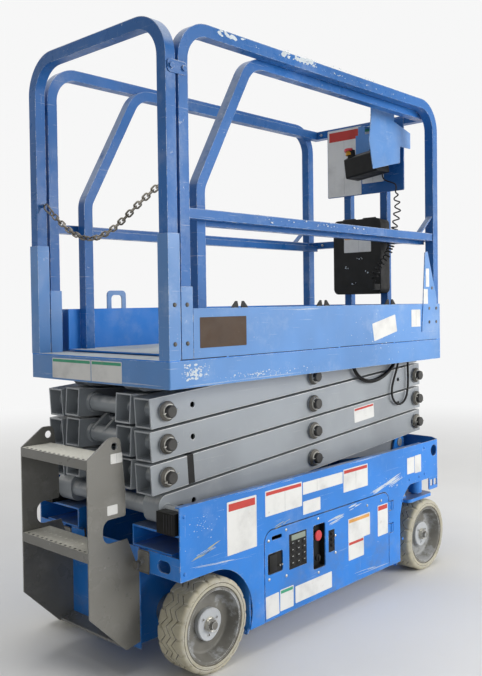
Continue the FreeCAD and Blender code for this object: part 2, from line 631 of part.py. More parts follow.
def wheels():
    for name, x, side in (("rear_right", "rear_axle_x", -1), ("rear_left", "rear_axle_x", 1),
                          ("front_right", "front_axle_x", -1), ("front_left", "front_axle_x", 1)):
        wheel(name, x, side)


def rear_axle():
    """Brake housings on the webs with a stub for each rear wheel."""
    inner = "(kingpin_y - tyre_width/2 - 9)"
    hub = "(kingpin_y + tyre_width/2 - rim_recess - 12)"
    housing = rod("brake_housing", "Y", ("rear_axle_x", f"-{inner}", "wheel_dia/2"), "52", f"{inner} - web_y")
    stub = rod("rear_stub", "Y", ("rear_axle_x", f"-{hub} + run_clear", "wheel_dia/2"), "stub_radius",
               f"{hub} - {inner} + 10")
    right = fuse("rear_axle_right", [housing, stub])
    node(both("rear_axle_shape", right), "rear_axle")


def yokes():
    """Steer yokes: a plate over the wheel, a leg down its inside and the drive motor."""
    x, y = S.front_axle_x, S.kingpin_y
    leg_y = S.kingpin_y - S.tyre_width / 2 - 10
    outer = S.side_y - 6
    outline = [(x - 150, -y + 22, 20), (x - 125, -outer, 20), (x + 60, -outer, 20), (x + 72, -y + 30, 20),
               (x + 60, -leg_y + 14, 8), (x - 60, -leg_y + 14, 8)]
    top_plate = plate("yoke_top", "XY_Plane", outline, "yoke_plate", ("0", "0", "yoke_low_z + yoke_plate/2"))
    leg = plate("yoke_leg", "XZ_Plane", [(x - 60, S.yoke_low_z + 2), (x - 60, 150, 40), (x - 40, 90, 30), (x + 40, 90, 30),
                                         (x + 60, 150, 40), (x + 60, S.yoke_low_z + 2)], "14", ("0", str(7 - leg_y), "0"))
    motor = rod("drive_motor", "Y", ("front_axle_x", str(14 - leg_y), "wheel_dia/2"), "44", "26")
    hub = "(kingpin_y + tyre_width/2 - rim_recess - 12)"
    spindle = rod("front_stub", "Y", ("front_axle_x", f"-{hub} + run_clear", "wheel_dia/2"), "stub_radius",
                  f"{hub} - {leg_y} + 1")
    top = "yoke_low_z + yoke_plate"
    pin = rod("kingpin", "Z", ("front_axle_x", "-kingpin_y", f"{top} - 2"), "kingpin_radius",
              f"channel_low_z - ({top}) - 11")
    lug = box("steer_lug", ("front_axle_x - steer_arm - 18", "-kingpin_y - 16", f"{top} - 1"),
              ("front_axle_x - steer_arm + 18", "-kingpin_y + 16", f"{top} + steer_lug"))
    tie_pin = rod("tie_pin", "Z", ("front_axle_x - steer_arm", "-kingpin_y", top), "tie_pin_radius",
                  "steer_lug + tie_rod_high + 7")
    right = fuse("yoke_right_shape", [top_plate, leg, motor, spindle, pin, lug, tie_pin])
    node(right, "yoke_right")
    node(mirror("yoke_left_shape", right), "yoke_left")
    low = f"{top} + steer_lug + 0.5"
    bar = box("tie_bar", ("front_axle_x - steer_arm - 12", "-kingpin_y + 10", low),
              ("front_axle_x - steer_arm + 12", "kingpin_y - 10", f"{low} + tie_rod_high"))
    eyes, bores = [], []
    for k, side in enumerate((-1, 1)):
        at = ("front_axle_x - steer_arm", f"{side}*kingpin_y")
        eyes.append(rod(f"tie_eye{k}", "Z", at + (low,), "tie_pin_radius + 11", "tie_rod_high"))
        bores.append(rod(f"tie_bore{k}", "Z", at + (f"{low} - 5",), "tie_pin_radius + pin_clear", "tie_rod_high + 10"))
    node(cut("tie_rod_shape", fuse("tie_rod_solid", [bar] + eyes), bores), "tie_rod")


# Trays and guards

def trays():
    """Swing-out trays: a door skin, a shelf behind it and what it carries."""
    rear, front = S.door_rear_x, S.door_front_x
    for side, name in ((-1, "right"), (1, "left")):
        outline = [(rear, S.belly_z + 2), (front, S.belly_z + 2), (front, S.door_top_z, S.door_radius),
                   (rear, S.door_top_z, S.door_radius)]
        openings = []
        if side < 0:
            openings = [ring_plate((rear + 15, rear + 96), (247, 320), 8),
                        ring_plate((rear + 37, rear + 92), (364, 378), 5),
                        ring_plate((rear + 129.7, rear + 229.3), (237.7, 363.3)),
                        ring_plate((rear + 268, rear + 342), (201, 365), 10),
                        ring_plate((rear + 361, rear + 400), (244, 327))]
        skin_y = f"{side}*(chassis_width/2 - plate_wall/2)"
        door = plate(f"door_{name}", "XZ_Plane", outline, "plate_wall", ("0", skin_y, "0"), openings)
        knuckles, bores = [], []
        for k, height in enumerate(S.hinge_heights):
            low, top = f"{height} - knuckle_high/2", f"{height} + knuckle_high/2"
            knuckles.append(rod(f"knuckle_{name}{k}", "Z", ("hinge_x", skin_y, low), "knuckle_radius", "knuckle_high"))
            knuckles.append(box(f"leaf_{name}{k}", ("door_front_x - 12", f"{skin_y} - plate_wall/2", low),
                                ("hinge_x", f"{skin_y} + plate_wall/2", top)))
            bores.append(rod(f"knuckle_bore_{name}{k}", "Z", ("hinge_x", skin_y, f"{low} - 12"), "hinge_pin + pin_clear",
                             "knuckle_high + 24"))
        hung = cut(f"hung_door_{name}", fuse(f"door_leaves_{name}", [door] + knuckles), bores)
        y0, y1 = sorted((side * (S.web_y + S.tray_clear), side * (S.side_y - S.plate_wall)))
        back = (y0, y0 + 6) if side > 0 else (y1 - 6, y1)
        shelf = [box(f"shelf_{name}", ("door_rear_x + 44", str(y0), "belly_z + 6"),
                     ("door_front_x - 10", str(y1), "belly_z + 12")),
                 box(f"shelf_back_{name}", ("door_rear_x + 44", str(back[0]), "belly_z + 6"),
                     ("door_front_x - 10", str(back[1]), "belly_z + 60"))]
        node(group(f"tray_{name}_shape", [hung, fuse(f"tray_shelf_{name}", shelf)]), f"tray_door_{name}")
    low = "belly_z + 12"
    pitch = "(door_front_x - door_rear_x - 53)/4"
    batteries = []
    for k in range(4):
        x = f"door_rear_x + 46 + {k}*{pitch}"
        batteries.append(box(f"battery{k}", (x, "web_y + tray_clear + 10", low),
                             (f"{x} + {pitch} - 6", "web_y + bay_depth - plate_wall - 16", "channel_low_z - 24")))
    node(group("battery_pack_shape", batteries), "battery_pack")
    pump = box("pump_block", ("door_rear_x + 120", "-(web_y + bay_depth - 39)", low),
               ("door_rear_x + 300", "-(web_y + tray_clear + 12)", "channel_low_z - 84"))
    tank_radius = "(bay_depth/2 - 25.5)"
    tank = rod("oil_tank", "X", ("door_rear_x + 340", "-(web_y + bay_depth/2 - 9.5)", f"{low} + {tank_radius}"), tank_radius,
               "door_front_x - door_rear_x - 433")
    node(group("hydraulic_unit_shape", [pump, tank]), "hydraulic_unit")


def ground_controls():
    """Panels and buttons set into the right tray door."""
    face = -(S.side_y - S.plate_wall)
    x = S.door_rear_x

    def inset(name, u, v, out, depth):
        return box(name, (str(x + u[0]), str(face - out), str(v[0])), (str(x + u[1]), str(face + depth), str(v[1])))

    keypad = inset("keypad", (130, 229), (238, 363), S.plate_wall, 8)
    strip = inset("switch_strip", (361.3, 399.7), (244.3, 326.7), 3, 14)
    recess = cut("stop_pocket", inset("stop_recess", (262, 348), (195, 371), 0, 24),
                 [inset("stop_recess_hole", (270, 340), (203, 363), 1, 20)])
    button = rod("stop_button", "Y", (str(x + 293), str(face - 2), "324"), "17", "21.5")
    meter = inset("meter", (10, 101), (242, 325), 0, 20)
    node(group("ground_controls_shape", [keypad, strip, fuse("stop_group", [recess, button]), meter]),
         "ground_controls")


def guards():
    """Pothole guards folded up under the sides, hinged along their outer edge."""
    for side, name in ((-1, "right"), (1, "left")):
        y0, y1 = sorted((side * (S.guard_y + 2), side * (S.guard_y - S.guard_depth)))
        bar = box(f"guard_{name}", ("bay_rear_x + 12", str(y0), "guard_z - 6"), ("bay_front_x - 12", str(y1), "guard_z + 2"))
        pivot = rod(f"guard_pivot_{name}", "X", ("bay_rear_x - 6", f"{side}*guard_y", "guard_z"), "guard_pivot",
                    "bay_front_x - bay_rear_x + 12")
        node(fuse(f"guard_{name}_shape", [bar, pivot]), f"pothole_guard_{name}")


# Scissor arms

def arm_outline(low_round, high_round):
    """Side view of an arm along its own length, pin to pin from the origin."""
    half = S.arm_depth / 2
    rear, front, tip = S.arm_rear_tip, S.arm_front_tip, S.arm_round_tip
    far = S.arm_length
    left = [(-tip, half, tip), (-tip, -half, tip)] if low_round else [(-rear, half), (-rear, -half)]
    right = ([(far + tip, -half, tip), (far + tip, half, tip)] if high_round
             else [(far + front, -half), (far + front, half)])
    return left + right


def across(name, x, radius, start, stop):
    """A bar in a laid-out piece's own frame, across it from one Y to another."""
    bar = doc.addObject("Part::Cylinder", name)
    bar.Radius = radius
    bar.Height = stop - start
    bar.Placement = Placement(Vector(x, -start, 0), Rotation(Vector(1, 0, 0), 90))
    return bar


def arm_tube(name, rear_round, front_round):
    """One square tube, open at its square ends."""
    body = doc.addObject("PartDesign::Body", name + "_bar")
    sketch = flat_sketch(body, name + "_outline", "XZ_Plane")
    draw(sketch, arm_outline(rear_round, front_round))
    pad = body.newObject("PartDesign::Pad", name + "_pad")
    pad.Profile = sketch
    pad.Midplane = True
    bind(pad, Length="arm_width")
    hollow = doc.addObject("Part::Box", name + "_hollow")
    closed = S.arm_depth / 2 + 12
    start = closed if rear_round else -S.arm_rear_tip - 1
    stop = S.arm_length - closed if front_round else S.arm_length + S.arm_front_tip + 1
    bind(hollow, Width="arm_width - 2*arm_wall", Height="arm_depth - 2*arm_wall")
    hollow.Length = stop - start
    wall = S.arm_wall
    hollow.Placement = Placement(Vector(start, wall - S.arm_width / 2, wall - S.arm_depth / 2), Rotation())
    return cut(name + "_shell", body, [hollow])


def inner_pins(name, level):
    """Pins that ride on an inner arm, pass through the outer arm and end in a washer."""
    half = S.arm_width / 2
    middle = S.inner_arm_y + half
    washer = half + S.arm_side_gap + S.arm_width + S.washer_gap
    bars = []
    for x, where in ((0, "rear"), (S.arm_length / 2, "mid"), (S.arm_length, "front")):
        if where == "front" and level == 1:
            stop = half + S.arm_side_gap - 3
        elif where == "rear" and level == 4:
            stop = S.deck_y - 19 - middle
        else:
            stop = washer + S.pin_cap + S.pin_tail
            bars.append(across(f"{name}_washer_{where}", x, S.pin_cap_radius, washer, washer + S.pin_cap))
        bars.append(across(f"{name}_pin_{where}", x, S.pin_radius, -half, stop))
    return bars


def outer_arm(name, level, tube):
    """Bored bosses for the pins, and the end pins that the slide blocks or the platform ride on."""
    half = S.arm_width / 2
    middle = S.outer_arm_y + half
    solids, holes = [tube], []
    for x, where in ((0, "rear"), (S.arm_length / 2, "mid"), (S.arm_length, "front")):
        if where == "rear" and level == 1:
            solids.append(across(f"{name}_pin_{where}", x, S.pin_radius, -half, S.side_y - S.plate_wall - 21 - middle))
        elif where == "front" and level == 4:
            solids.append(across(f"{name}_pin_{where}", x, S.pin_radius, -half, half + 22))
        else:
            solids.append(across(f"{name}_boss_{where}", x, S.pin_radius + 8, -half, half))
            holes.append(across(f"{name}_bore_{where}", x, S.pin_radius + S.pin_clear, -half - 20, half + 20))
    if level != 2:
        holes.append(across(name + "_hole_rear", S.arm_hole_rear, S.arm_hole_radius, -half - 1, half + 1))
    if level in (2, 3):
        holes.append(across(name + "_hole_front", S.arm_length - S.arm_hole_front, S.arm_hole_radius, -half - 1, half + 1))
    return cut(name + "_bored", fuse(name + "_joined", solids), holes)


def arm_pair(level, kind):
    """One pair of arms. Inner arms lean back and outer arms lean forward."""
    inner = kind == "inner"
    name = f"arm{level}_{kind}"
    middle = (S.inner_arm_y if inner else S.outer_arm_y) + S.arm_width / 2
    low_z = S.arm_base_z + (level - 1) * S.arm_pitch
    high_z = low_z + S.arm_pitch
    # an inner arm is drawn from its rear, upper pin and slopes down towards the front
    start = Vector(S.arm_rear_x, -middle, high_z if inner else low_z)
    turn = Rotation(Vector(0, 1, 0), S.arm_angle if inner else -S.arm_angle)
    if inner:
        tube = arm_tube(name, level == 4, level == 1)
        arm = fuse(name + "_joined", [tube] + inner_pins(name, level))
    else:
        arm = outer_arm(name, level, arm_tube(name, level == 1, level == 4))
    right = doc.addObject("Part::Compound", name + "_right")
    right.Links = [arm]
    right.Placement = Placement(start, turn)
    parts = [right, mirror(name + "_left", right)]
    if inner:
        rear = rod(f"{name}_cross_rear", "Y", (str(S.arm_rear_x), "-inner_arm_y", str(high_z)), "cross_tube_radius",
                   "2*inner_arm_y")
        collars = [rod(f"{name}_collar{k}", "Y", (str(S.arm_rear_x), y, str(high_z)), "collar_radius", "collar_width")
                   for k, y in enumerate(("-inner_arm_y", "inner_arm_y - collar_width"))]
        pieces = [rear] + collars + (cylinder_ears(high_z) if level == 2 else [])
        parts.append(fuse(name + "_cross_shaft", pieces))
        parts.append(rod(f"{name}_cross_front", "Y", (str(S.arm_front_x), "-inner_arm_y", str(low_z)),
                         "cross_tube_radius", "2*inner_arm_y"))
    elif level == 1:
        parts.append(rod(name + "_cross", "Y", (str(S.arm_rear_x), "-outer_arm_y", str(low_z)), "cross_tube_radius",
                         "2*outer_arm_y"))
    node(group(name + "_frame", parts), name)


def cylinder_ears(z):
    """Ears on the second cross tube for the lift cylinder's rod eye."""
    x = S.arm_rear_x
    outline = [(x - 10, z - 24, 10), (x + S.ear_x + 20, z + S.ear_z - 20, 16),
               (x + S.ear_x + 20, z + S.ear_z + 20, 18), (x + S.ear_x - 24, z + S.ear_z + 20, 18),
               (x - 26, z + 20, 10)]
    return [plate(f"cylinder_ear{k}", "XZ_Plane", outline, "ear_sheet",
                  ("0", f"cylinder_y + {side}*(eye_width/2 + ear_sheet)", "0")) for k, side in enumerate((-1, 1))]


def scissor():
    for level in range(1, 5):
        arm_pair(level, "inner")
        arm_pair(level, "outer")


def slide_blocks():
    """Blocks that keep level on the channels while the arms swing."""
    x = "arm_rear_x"
    near = "outer_arm_y + arm_width + block_gap"
    far = "chassis_width/2 - plate_wall - 11"
    low = cut("block_low", box("block_low_solid", (f"{x} - 55", f"-({far})", "channel_top_z + run_clear"),
                               (f"{x} + 55", f"-({near})", "arm_base_z + 9")),
              [rod("block_low_bore", "Y", (x, "-chassis_width/2", "arm_base_z"), "pin_radius + pin_clear",
                   "chassis_width/2 - outer_arm_y")])
    node(both("slide_blocks_low_shape", low), "slide_blocks_low")
    top = str(S.top_pin_z)
    high = cut("block_high", box("block_high_solid", (f"{x} - 40", "-(platform_width/2 - 17)", f"{top} - 22.7"),
                                 (f"{x} + 40", f"-({near} + 2)", f"{top} + 22.7")),
               [rod("block_high_bore", "Y", (x, "-platform_width/2", top), "pin_radius + pin_clear",
                    "platform_width/2 - outer_arm_y")])
    node(both("slide_blocks_high_shape", high), "slide_blocks_high")


def lift_cylinder():
    """Lift cylinder, laid along the line from its base pin to the ear pin."""
    ear = Vector(S.arm_rear_x + S.ear_x, 0, S.arm_base_z + 2 * S.arm_pitch + S.ear_z)
    run = ear - Vector(S.barrel_x, 0, S.barrel_z)
    slope = math.degrees(math.atan2(run.z, -run.x))
    turn = Rotation(Vector(0, 1, 0), 180 + slope)
    at = Vector(S.barrel_x, S.cylinder_y, S.barrel_z)
    length = run.Length

    def along(name, start, stop, radius):
        bar = doc.addObject("Part::Cylinder", name)
        bar.Radius = radius
        bar.Height = stop - start
        bar.Placement = Placement(Vector(start, 0, 0), Rotation(Vector(0, 1, 0), 90))
        return bar

    half = S.eye_width / 2
    tube_start, tube_end = 60, length - 60
    solids = [along("barrel_tube", tube_start, tube_end - 30, S.barrel_radius),
              along("barrel_gland", tube_end - 32, tube_end, S.barrel_radius - 5),
              along("barrel_neck", 0, tube_start + 2, 19),
              across("barrel_eye", 0, S.eye_radius, -half, half),
              across("barrel_pin", 0, S.eye_pin_radius, -half - 17, half + 17)]
    barrel = cut("barrel_bored", fuse("barrel_solid", solids),
                 [along("barrel_bore", tube_start + 8, length, S.lift_rod_radius + S.pin_clear)])
    rod_body = fuse("rod_solid", [along("rod_bar", tube_start + 10, length - 20, S.lift_rod_radius),
                                  across("rod_eye", length, S.eye_radius - 2, -half, half)])
    for shape, label in ((barrel, "lift_barrel"), (rod_body, "lift_rod")):
        holder = doc.addObject("Part::Compound", label + "_shape")
        holder.Links = [shape]
        holder.Placement = Placement(at, turn)
        node(holder, label)


# Platform

def platform():
    """Main deck with its skirt and toe panels, and what hangs under it."""
    rear, front = S.platform_rear_x, S.front_x
    sheet_wall = S.deck_sheet
    skirt_z = "(skirt_low_z + skirt_high/2)"
    ring = plate("skirt", "XY_Plane", ring_plate((rear, front), (-S.deck_y, S.deck_y), 6), "skirt_high",
                 ("0", "0", skirt_z), [ring_plate((rear + sheet_wall, front - sheet_wall),
                                                  (sheet_wall - S.deck_y, S.deck_y - sheet_wall), 3)])
    node(ring, "platform_skirt")
    deck = plate("deck", "XY_Plane", ring_plate((rear, front), (-S.deck_y, S.deck_y), 6), "deck_sheet",
                 ("0", "0", "deck_z - deck_sheet/2"))
    node(deck, "main_deck")
    low = S.deck_z
    panel = box("toe_panel", ("rail_rear_x + rail_tube/2 + 6", "-platform_width/2", "deck_z"),
                ("front_x - 5", "-platform_width/2 + deck_sheet", "toe_top_z"))
    gusset = plate("gusset", "XZ_Plane",
                   [(front - 166, low + 36), (front - 50, low + 36), (front - 39, low + 180), (front - 116, low + 389, 4),
                    (front - 137, low + 383, 4)], "deck_sheet", ("0", "-platform_width/2 - deck_sheet/2", "0"))
    latch_x = S.ext_leg_x + 119
    latch = plate("latch_handle", "XZ_Plane", ring_plate((latch_x, latch_x + 92), (low + 25, low + 228), 18), "5",
                  ("0", "platform_width/2 - 40.5", "0"),
                  [ring_plate((latch_x + 20, latch_x + 72), (low + 150, low + 210), 14)])
    spacer = box("latch_spacer", (str(latch_x + 12), "platform_width/2 - 38", "deck_z + 30"),
                 (str(latch_x + 80), "platform_width/2 - deck_sheet", "deck_z + 70"))
    parts = [panel, mirror("toe_panel_left", panel), gusset, latch, spacer]
    node(group("toe_panels_shape", parts), "toe_panels")
    top = S.top_pin_z
    outer, inner, wall = 10 - S.deck_y, -(S.outer_arm_y + S.arm_width + S.block_gap), 4
    channel = [(outer, top - 27), (outer, top + 27), (inner, top + 27), (inner, top + 23), (outer + wall, top + 23),
               (outer + wall, top - 23), (inner, top - 23), (inner, top - 27)]
    slide = plate("upper_channel", "YZ_Plane", channel, "1000", ("platform_rear_x + 520", "0", "0"))
    hanger = box("upper_hanger", ("platform_rear_x + 20", str(outer), str(top + 27)),
                 ("platform_rear_x + 1020", str(outer + 10), "deck_z - deck_sheet"))
    x, deck_low = S.arm_front_x, S.deck_z - S.deck_sheet
    ear = plate("upper_bracket", "XZ_Plane",
                [(x - 46, top - 30, 24), (x + 40, top - 30, 24), (x + 50, deck_low), (x - 60, deck_low)],
                "8", ("0", "-(outer_arm_y + arm_width + 12)", "0"), [circle(x, top, S.pin_radius + S.pin_clear)])
    clamps = []
    for k, (low_x, high_x) in enumerate(((x - 521, x - 491), (x - 196, x - 70))):
        clamps.append(box(f"hose_clamp{k}", (str(low_x), "-(outer_arm_y + arm_width + 25)", str(top - 11)),
                          (str(high_x), "-(outer_arm_y + arm_width + 7)", str(deck_low))))
    under = fuse("upper_channel_solid", [slide, hanger])
    node(group("platform_bearers_shape", [under, mirror("bearer_left", under), ear, mirror("upper_bracket_left", ear)]
               + clamps), "platform_bearers")


def guard_rails():
    """Side rails with bent corners, the entry arch and the sockets that hold them."""
    half = S.rail_tube / 2
    path = [(S.rail_rear_x, S.deck_z), (S.rail_rear_x, S.rail_top_z - half, S.rail_bend),
            (S.rail_front_x, S.rail_top_z - half, S.rail_bend), (S.rail_front_x, S.deck_z)]
    loop = bent_tube("side_rail", "XZ_Plane", path, S.rail_tube, S.rail_wall, ("0", "-rail_y", "0"))
    mid = box("mid_rail", ("rail_rear_x + rail_tube/2 - 2", "-rail_y - mid_rail_tube/2", "mid_rail_z - mid_rail_tube/2"),
              ("rail_front_x - rail_tube/2 + 2", "-rail_y + mid_rail_tube/2", "mid_rail_z + mid_rail_tube/2"))
    tab_z = S.rail_top_z - 160
    tab = plate("rail_tab", "XZ_Plane", ring_plate((S.arch_x - 14, S.rail_rear_x + 14), (tab_z - 20, tab_z + 20), 12),
                "4", ("0", "-rail_y - rail_tube/2 - 2", "0"))
    bolts = [rod(f"tab_bolt{k}", "Y", (x, "-rail_y - rail_tube/2 - 10", str(tab_z)), "9", "7")
             for k, x in enumerate(("arch_x", "rail_rear_x"))]
    post_x, level = S.rail_front_x - half, S.mid_rail_z + S.mid_rail_tube / 2
    strap = plate("knee_strap", "XZ_Plane",
                  [(post_x - 94, level - 1), (post_x - 86, level - 1), (post_x + 1, level + 70), (post_x + 1, level + 77)],
                  "26", ("0", "-rail_y", "0"))
    right = fuse("side_rail_right_shape", [loop, mid, tab, strap] + bolts)
    node(right, "side_rail_right")
    node(mirror("side_rail_left_shape", right), "side_rail_left")
    bend = S.rail_bend + 10
    top = S.arch_top_z - half
    arch_path = [(-S.rail_y, S.deck_z), (-S.rail_y, top, bend), (S.rail_y, top, bend), (S.rail_y, S.deck_z)]
    arch = bent_tube("arch", "YZ_Plane", arch_path, S.rail_tube, S.rail_wall, ("arch_x", "0", "0"))
    eyes = [rod("chain_eye_right", "Y", ("arch_x", "-rail_y + rail_tube/2 - 1", "deck_z + 540"), "7", "16"),
            rod("chain_eye_left", "Y", ("arch_x", "rail_y - rail_tube/2 - 15", "deck_z + 533"), "7", "16")]
    node(fuse("entry_arch_shape", [arch] + eyes), "entry_arch")


def rail_sockets():
    """Square sockets welded to the deck for the entry arch and the side rails' rear posts."""
    parts = []
    for name, x, high in (("arch_socket", "arch_x", "arch_socket_high"), ("rail_socket", "rail_rear_x", "rail_socket_high")):
        half, seat = "(rail_tube/2 + socket_wall)", "(rail_tube/2 + run_clear)"
        outer = box(name + "_outer", (f"{x} - {half}", f"-rail_y - {half}", "deck_z"),
                    (f"{x} + {half}", f"-rail_y + {half}", f"deck_z + {high}"))
        inner = box(name + "_inner", (f"{x} - {seat}", f"-rail_y - {seat}", "deck_z - 1"),
                    (f"{x} + {seat}", f"-rail_y + {seat}", f"deck_z + {high} + 1"))
        socket = cut(name, outer, [inner])
        parts += [socket, mirror(name + "_left", socket)]
    node(group("rail_sockets_shape", parts), "rail_sockets")


def extension():
    """Sliding deck with its toe boards and rails."""
    low, rear = "(deck_z + ext_lift)", "ext_rear_x"
    front = "front_x - front_gap - deck_sheet"
    top = f"{low} + deck_sheet"
    parts = [
        box("ext_sheet", (rear, "-ext_board_y", low), (front, "ext_board_y", top)),
        box("ext_board_right", (rear, "-ext_board_y", top), (front, "-ext_board_y + deck_sheet", "toe_top_z")),
        box("ext_board_left", (rear, "ext_board_y - deck_sheet", top), (front, "ext_board_y", "toe_top_z")),
        box("ext_board_front", (front, "-ext_board_y", low), ("front_x - front_gap", "ext_board_y", "toe_top_z")),
    ]
    for k, x in enumerate(("ext_rear_x + 10", "front_x - 205")):
        parts.append(box(f"ext_pad{k}", (x, "-ext_board_y + 25", "deck_z + run_clear"),
                         (f"{x} + 50", "ext_board_y - 25", low)))
    node(group("extension_deck_shape", parts), "extension_deck")
    half = S.ext_tube / 2
    rail_mid = S.ext_top_z - half
    bar_x = S.front_x - half
    knee, shoulder = S.mid_rail_z + S.ext_knee_rise, S.ext_leg_x + S.ext_lean
    path = [(S.ext_leg_x, S.ext_low_z + S.deck_sheet), (S.ext_leg_x, knee, 80), (shoulder, rail_mid, 110),
            (bar_x - half, rail_mid)]
    leg = bent_tube("ext_rail", "XZ_Plane", path, S.ext_tube, S.rail_wall, ("0", "-ext_y", "0"))
    mid = box("ext_mid", ("ext_leg_x + ext_tube/2 - 2", "-ext_y - 14", "mid_rail_z - 30"),
              ("front_x - ext_tube", "-ext_y + 14", "mid_rail_z - 2"))
    right = fuse("ext_rail_right", [leg, mid])
    node(both("extension_rails_shape", right), "extension_rails")
    back, side = "front_x - ext_tube", "ext_y + ext_tube/2"
    bars = [box("front_top", (back, f"-({side})", "ext_top_z - ext_tube"), ("front_x", side, "ext_top_z")),
            box("front_mid", (back, f"-({side})", "mid_rail_z - 16"), ("front_x", side, "mid_rail_z + 16"))]
    for k, sign in enumerate((-1, 1)):
        bars.append(box(f"front_post{k}", (back, f"{sign}*post_y - ext_tube/2", top),
                        (front, f"{sign}*post_y + ext_tube/2", "ext_top_z - 10")))
    node(fuse("front_frame_shape", bars), "extension_front_frame")


def control_station():
    """Board, bent guard, tilted control box and document box at the front rail."""
    front, top = S.front_x, S.ext_top_z
    back = front - S.ext_tube
    low = top - S.board_low
    board = plate("board", "YZ_Plane", ring_plate((-217, 215), (low, top - 8), 6), "6", (f"{back} - 3", "0", "0"))
    node(board, "placard_board")
    wing = plate("guard_wing", "XZ_Plane",
                 [(front - 321, top - 53), (front - 320, top + 19, 6), (front - 134, top + 19, 6), (front - 140, top - 45),
                  (front - 2, top - 78, 4), (front - 2, top - 150, 4), (front - 90, top - 150),
                  (front - 92, top - 224, 4), (front - 309, top - 275, 4), (front - 338, top - 156, 4)], "4",
                 ("0", "-226", "0"))
    rear_wall = box("guard_back", (str(front - 97), "-225", str(top - 224)), (str(front - 93), "10", str(top - 68)))
    straps = [box(f"guard_strap{k}", (str(front - 97), str(y), str(top - 32)), (str(back - 6), str(y + 36), str(top - 28)))
              for k, y in enumerate((-180, -40))]
    risers = [box(f"guard_riser{k}", (str(front - 97), str(y), str(top - 70)), (str(front - 93), str(y + 36), str(top - 28)))
              for k, y in enumerate((-180, -40))]
    node(fuse("control_guard_shape", [wing, rear_wall] + straps + risers), "control_guard")
    # the box is drawn about its own middle, then tilted
    case = plate("control_case", "XZ_Plane", [(-53, -58, 8), (52, -58, 8), (52, 56, 8), (6, 56, 8), (-53, 30, 8)], "170",
                 ("0", "0", "0"))
    button = rod("control_stop", "Z", ("-24", "60", "38"), "19", "34")
    stick = rod("control_stick", "Z", ("20", "-40", "50"), "8", "56")
    knob = turned("control_knob", [(0, 96), (15, 96, 5), (18, 112, 8), (12, 136, 6), (0, 136)], ("20", "-40", "0"), "Z")
    box_parts = fuse("control_box_parts", [case, button, stick, knob])
    tilted = doc.addObject("Part::Compound", "control_box_shape")
    tilted.Links = [box_parts]
    tilted.Placement = Placement(Vector(front - 97 - 52, -84, top - 215), Rotation(Vector(1, 0, 0), -7))
    node(tilted, "control_box")
    high = S.mid_rail_z + 100
    shell = plate("manual_shell", "YZ_Plane", ring_plate((-134, 127), (high - 346, high), 24), "52",
                  (str(back - 26), "0", "0"))
    lid = plate("manual_lid", "YZ_Plane", ring_plate((-137, 130), (high - 349, high + 3), 27), "27",
                (str(back - 65.5), "0", "0"))
    hinges = [rod(f"manual_hinge{k}", "Y", (str(back - 52), str(y), str(high + 2)), "9", "66") for k, y in enumerate((-92, 22))]
    clamp = box("cord_clamp", (str(back - 129), "-135", str(high - 331)), (str(back - 78), "-103", str(high - 303)))
    node(fuse("manual_box_shape", [shell, lid, clamp] + hinges), "manual_box")


# Cords

def cord(name, points, radius):
    """A round cord through points: straight runs joined by arcs as large as the runs allow."""
    corners = [Vector(*point) for point in points]
    edges, radii = [], []
    start = corners[0]
    for k in range(1, len(corners) - 1):
        here = corners[k]
        back, ahead = corners[k - 1] - here, corners[k + 1] - here
        reach = 0.45 * min(back.Length, ahead.Length)
        half = back.getAngle(ahead) / 2
        bend = reach * math.tan(half)
        back.normalize()
        ahead.normalize()
        centre = here + (back + ahead).normalize() * (bend / math.sin(half))
        middle = centre + (here - centre).normalize() * bend
        edges.append(Part.LineSegment(start, here + back * reach).toShape())
        start = here + ahead * reach
        edges.append(Part.Arc(here + back * reach, middle, start).toShape())
        radii.append(round(bend))
    edges.append(Part.LineSegment(start, corners[-1]).toShape())
    path = Part.Wire(edges)
    section = Part.Wire([Part.Circle(corners[0], corners[1] - corners[0], radius).toShape()])
    obj = doc.addObject("Part::Feature", name + "_shape")
    obj.Shape = path.makePipeShell([section], True, True)
    share = obj.Shape.Volume / (math.pi * radius ** 2 * path.Length)
    print(f"{name}: length {path.Length:.0f}, radii {radii}, volume share {share:.4f}")
    node(obj, name)


def cords():
    """Entry chain's line, the coiled control cord with its lead, and the hoses under the deck."""
    x, z = S.arch_x, S.deck_z
    chain = [(-313.7, 540), (-228, 500), (-132, 444), (-42, 405), (48, 393), (138, 418), (226, 470), (312.8, 533)]
    cord("entry_chain", [(x, y, z + rise) for y, rise in chain], S.chain_radius)
    x, z = S.front_x, S.ext_top_z
    joint = (x - 69, -192, z - 335)
    lead = [(x - 105, -141, z - 266.9), (x - 105, -142, z - 285), (x - 94, -157, z - 299), (x - 78, -176, z - 305),
            (x - 69, -192, z - 315), joint]
    cord("control_lead", lead, 3.5)
    coil = [joint, (x - 69, -192, z - 367), (x - 67, -200, z - 425), (x - 69, -188, z - 483), (x - 72, -179, z - 537),
            (x - 81, -171, z - 589), (x - 101, -166, z - 637), (x - 139, -152, z - 683), (x - 148, -119, z - 731),
            (x - 148, -119, S.mid_rail_z - 203)]
    cord("coiled_cord", coil, S.coil_radius)
    x, z = S.arm_front_x, S.top_pin_z - 11
    y = -(S.outer_arm_y + S.arm_width + 16)
    hose = [(-505, 0), (-505, -28), (-474, -62), (-421, -86), (-356, -92), (-291, -80), (-232, -56), (-190, -26), (-190, 0)]
    cord("platform_hose", [(x + u, y, z + v) for u, v in hose], S.hose_radius)
    y = -(S.outer_arm_y + S.arm_width + 13)
    loop = [(-159, 0), (-159, -34), (-188, -84), (-213, -134), (-210, -178), (-176, -208), (-130, -212), (-92, -186),
            (-79, -140), (-77, -90), (-80, -40), (-80, 0)]
    cord("platform_cable", [(x + u, y, z + v) for u, v in loop], S.cable_radius)


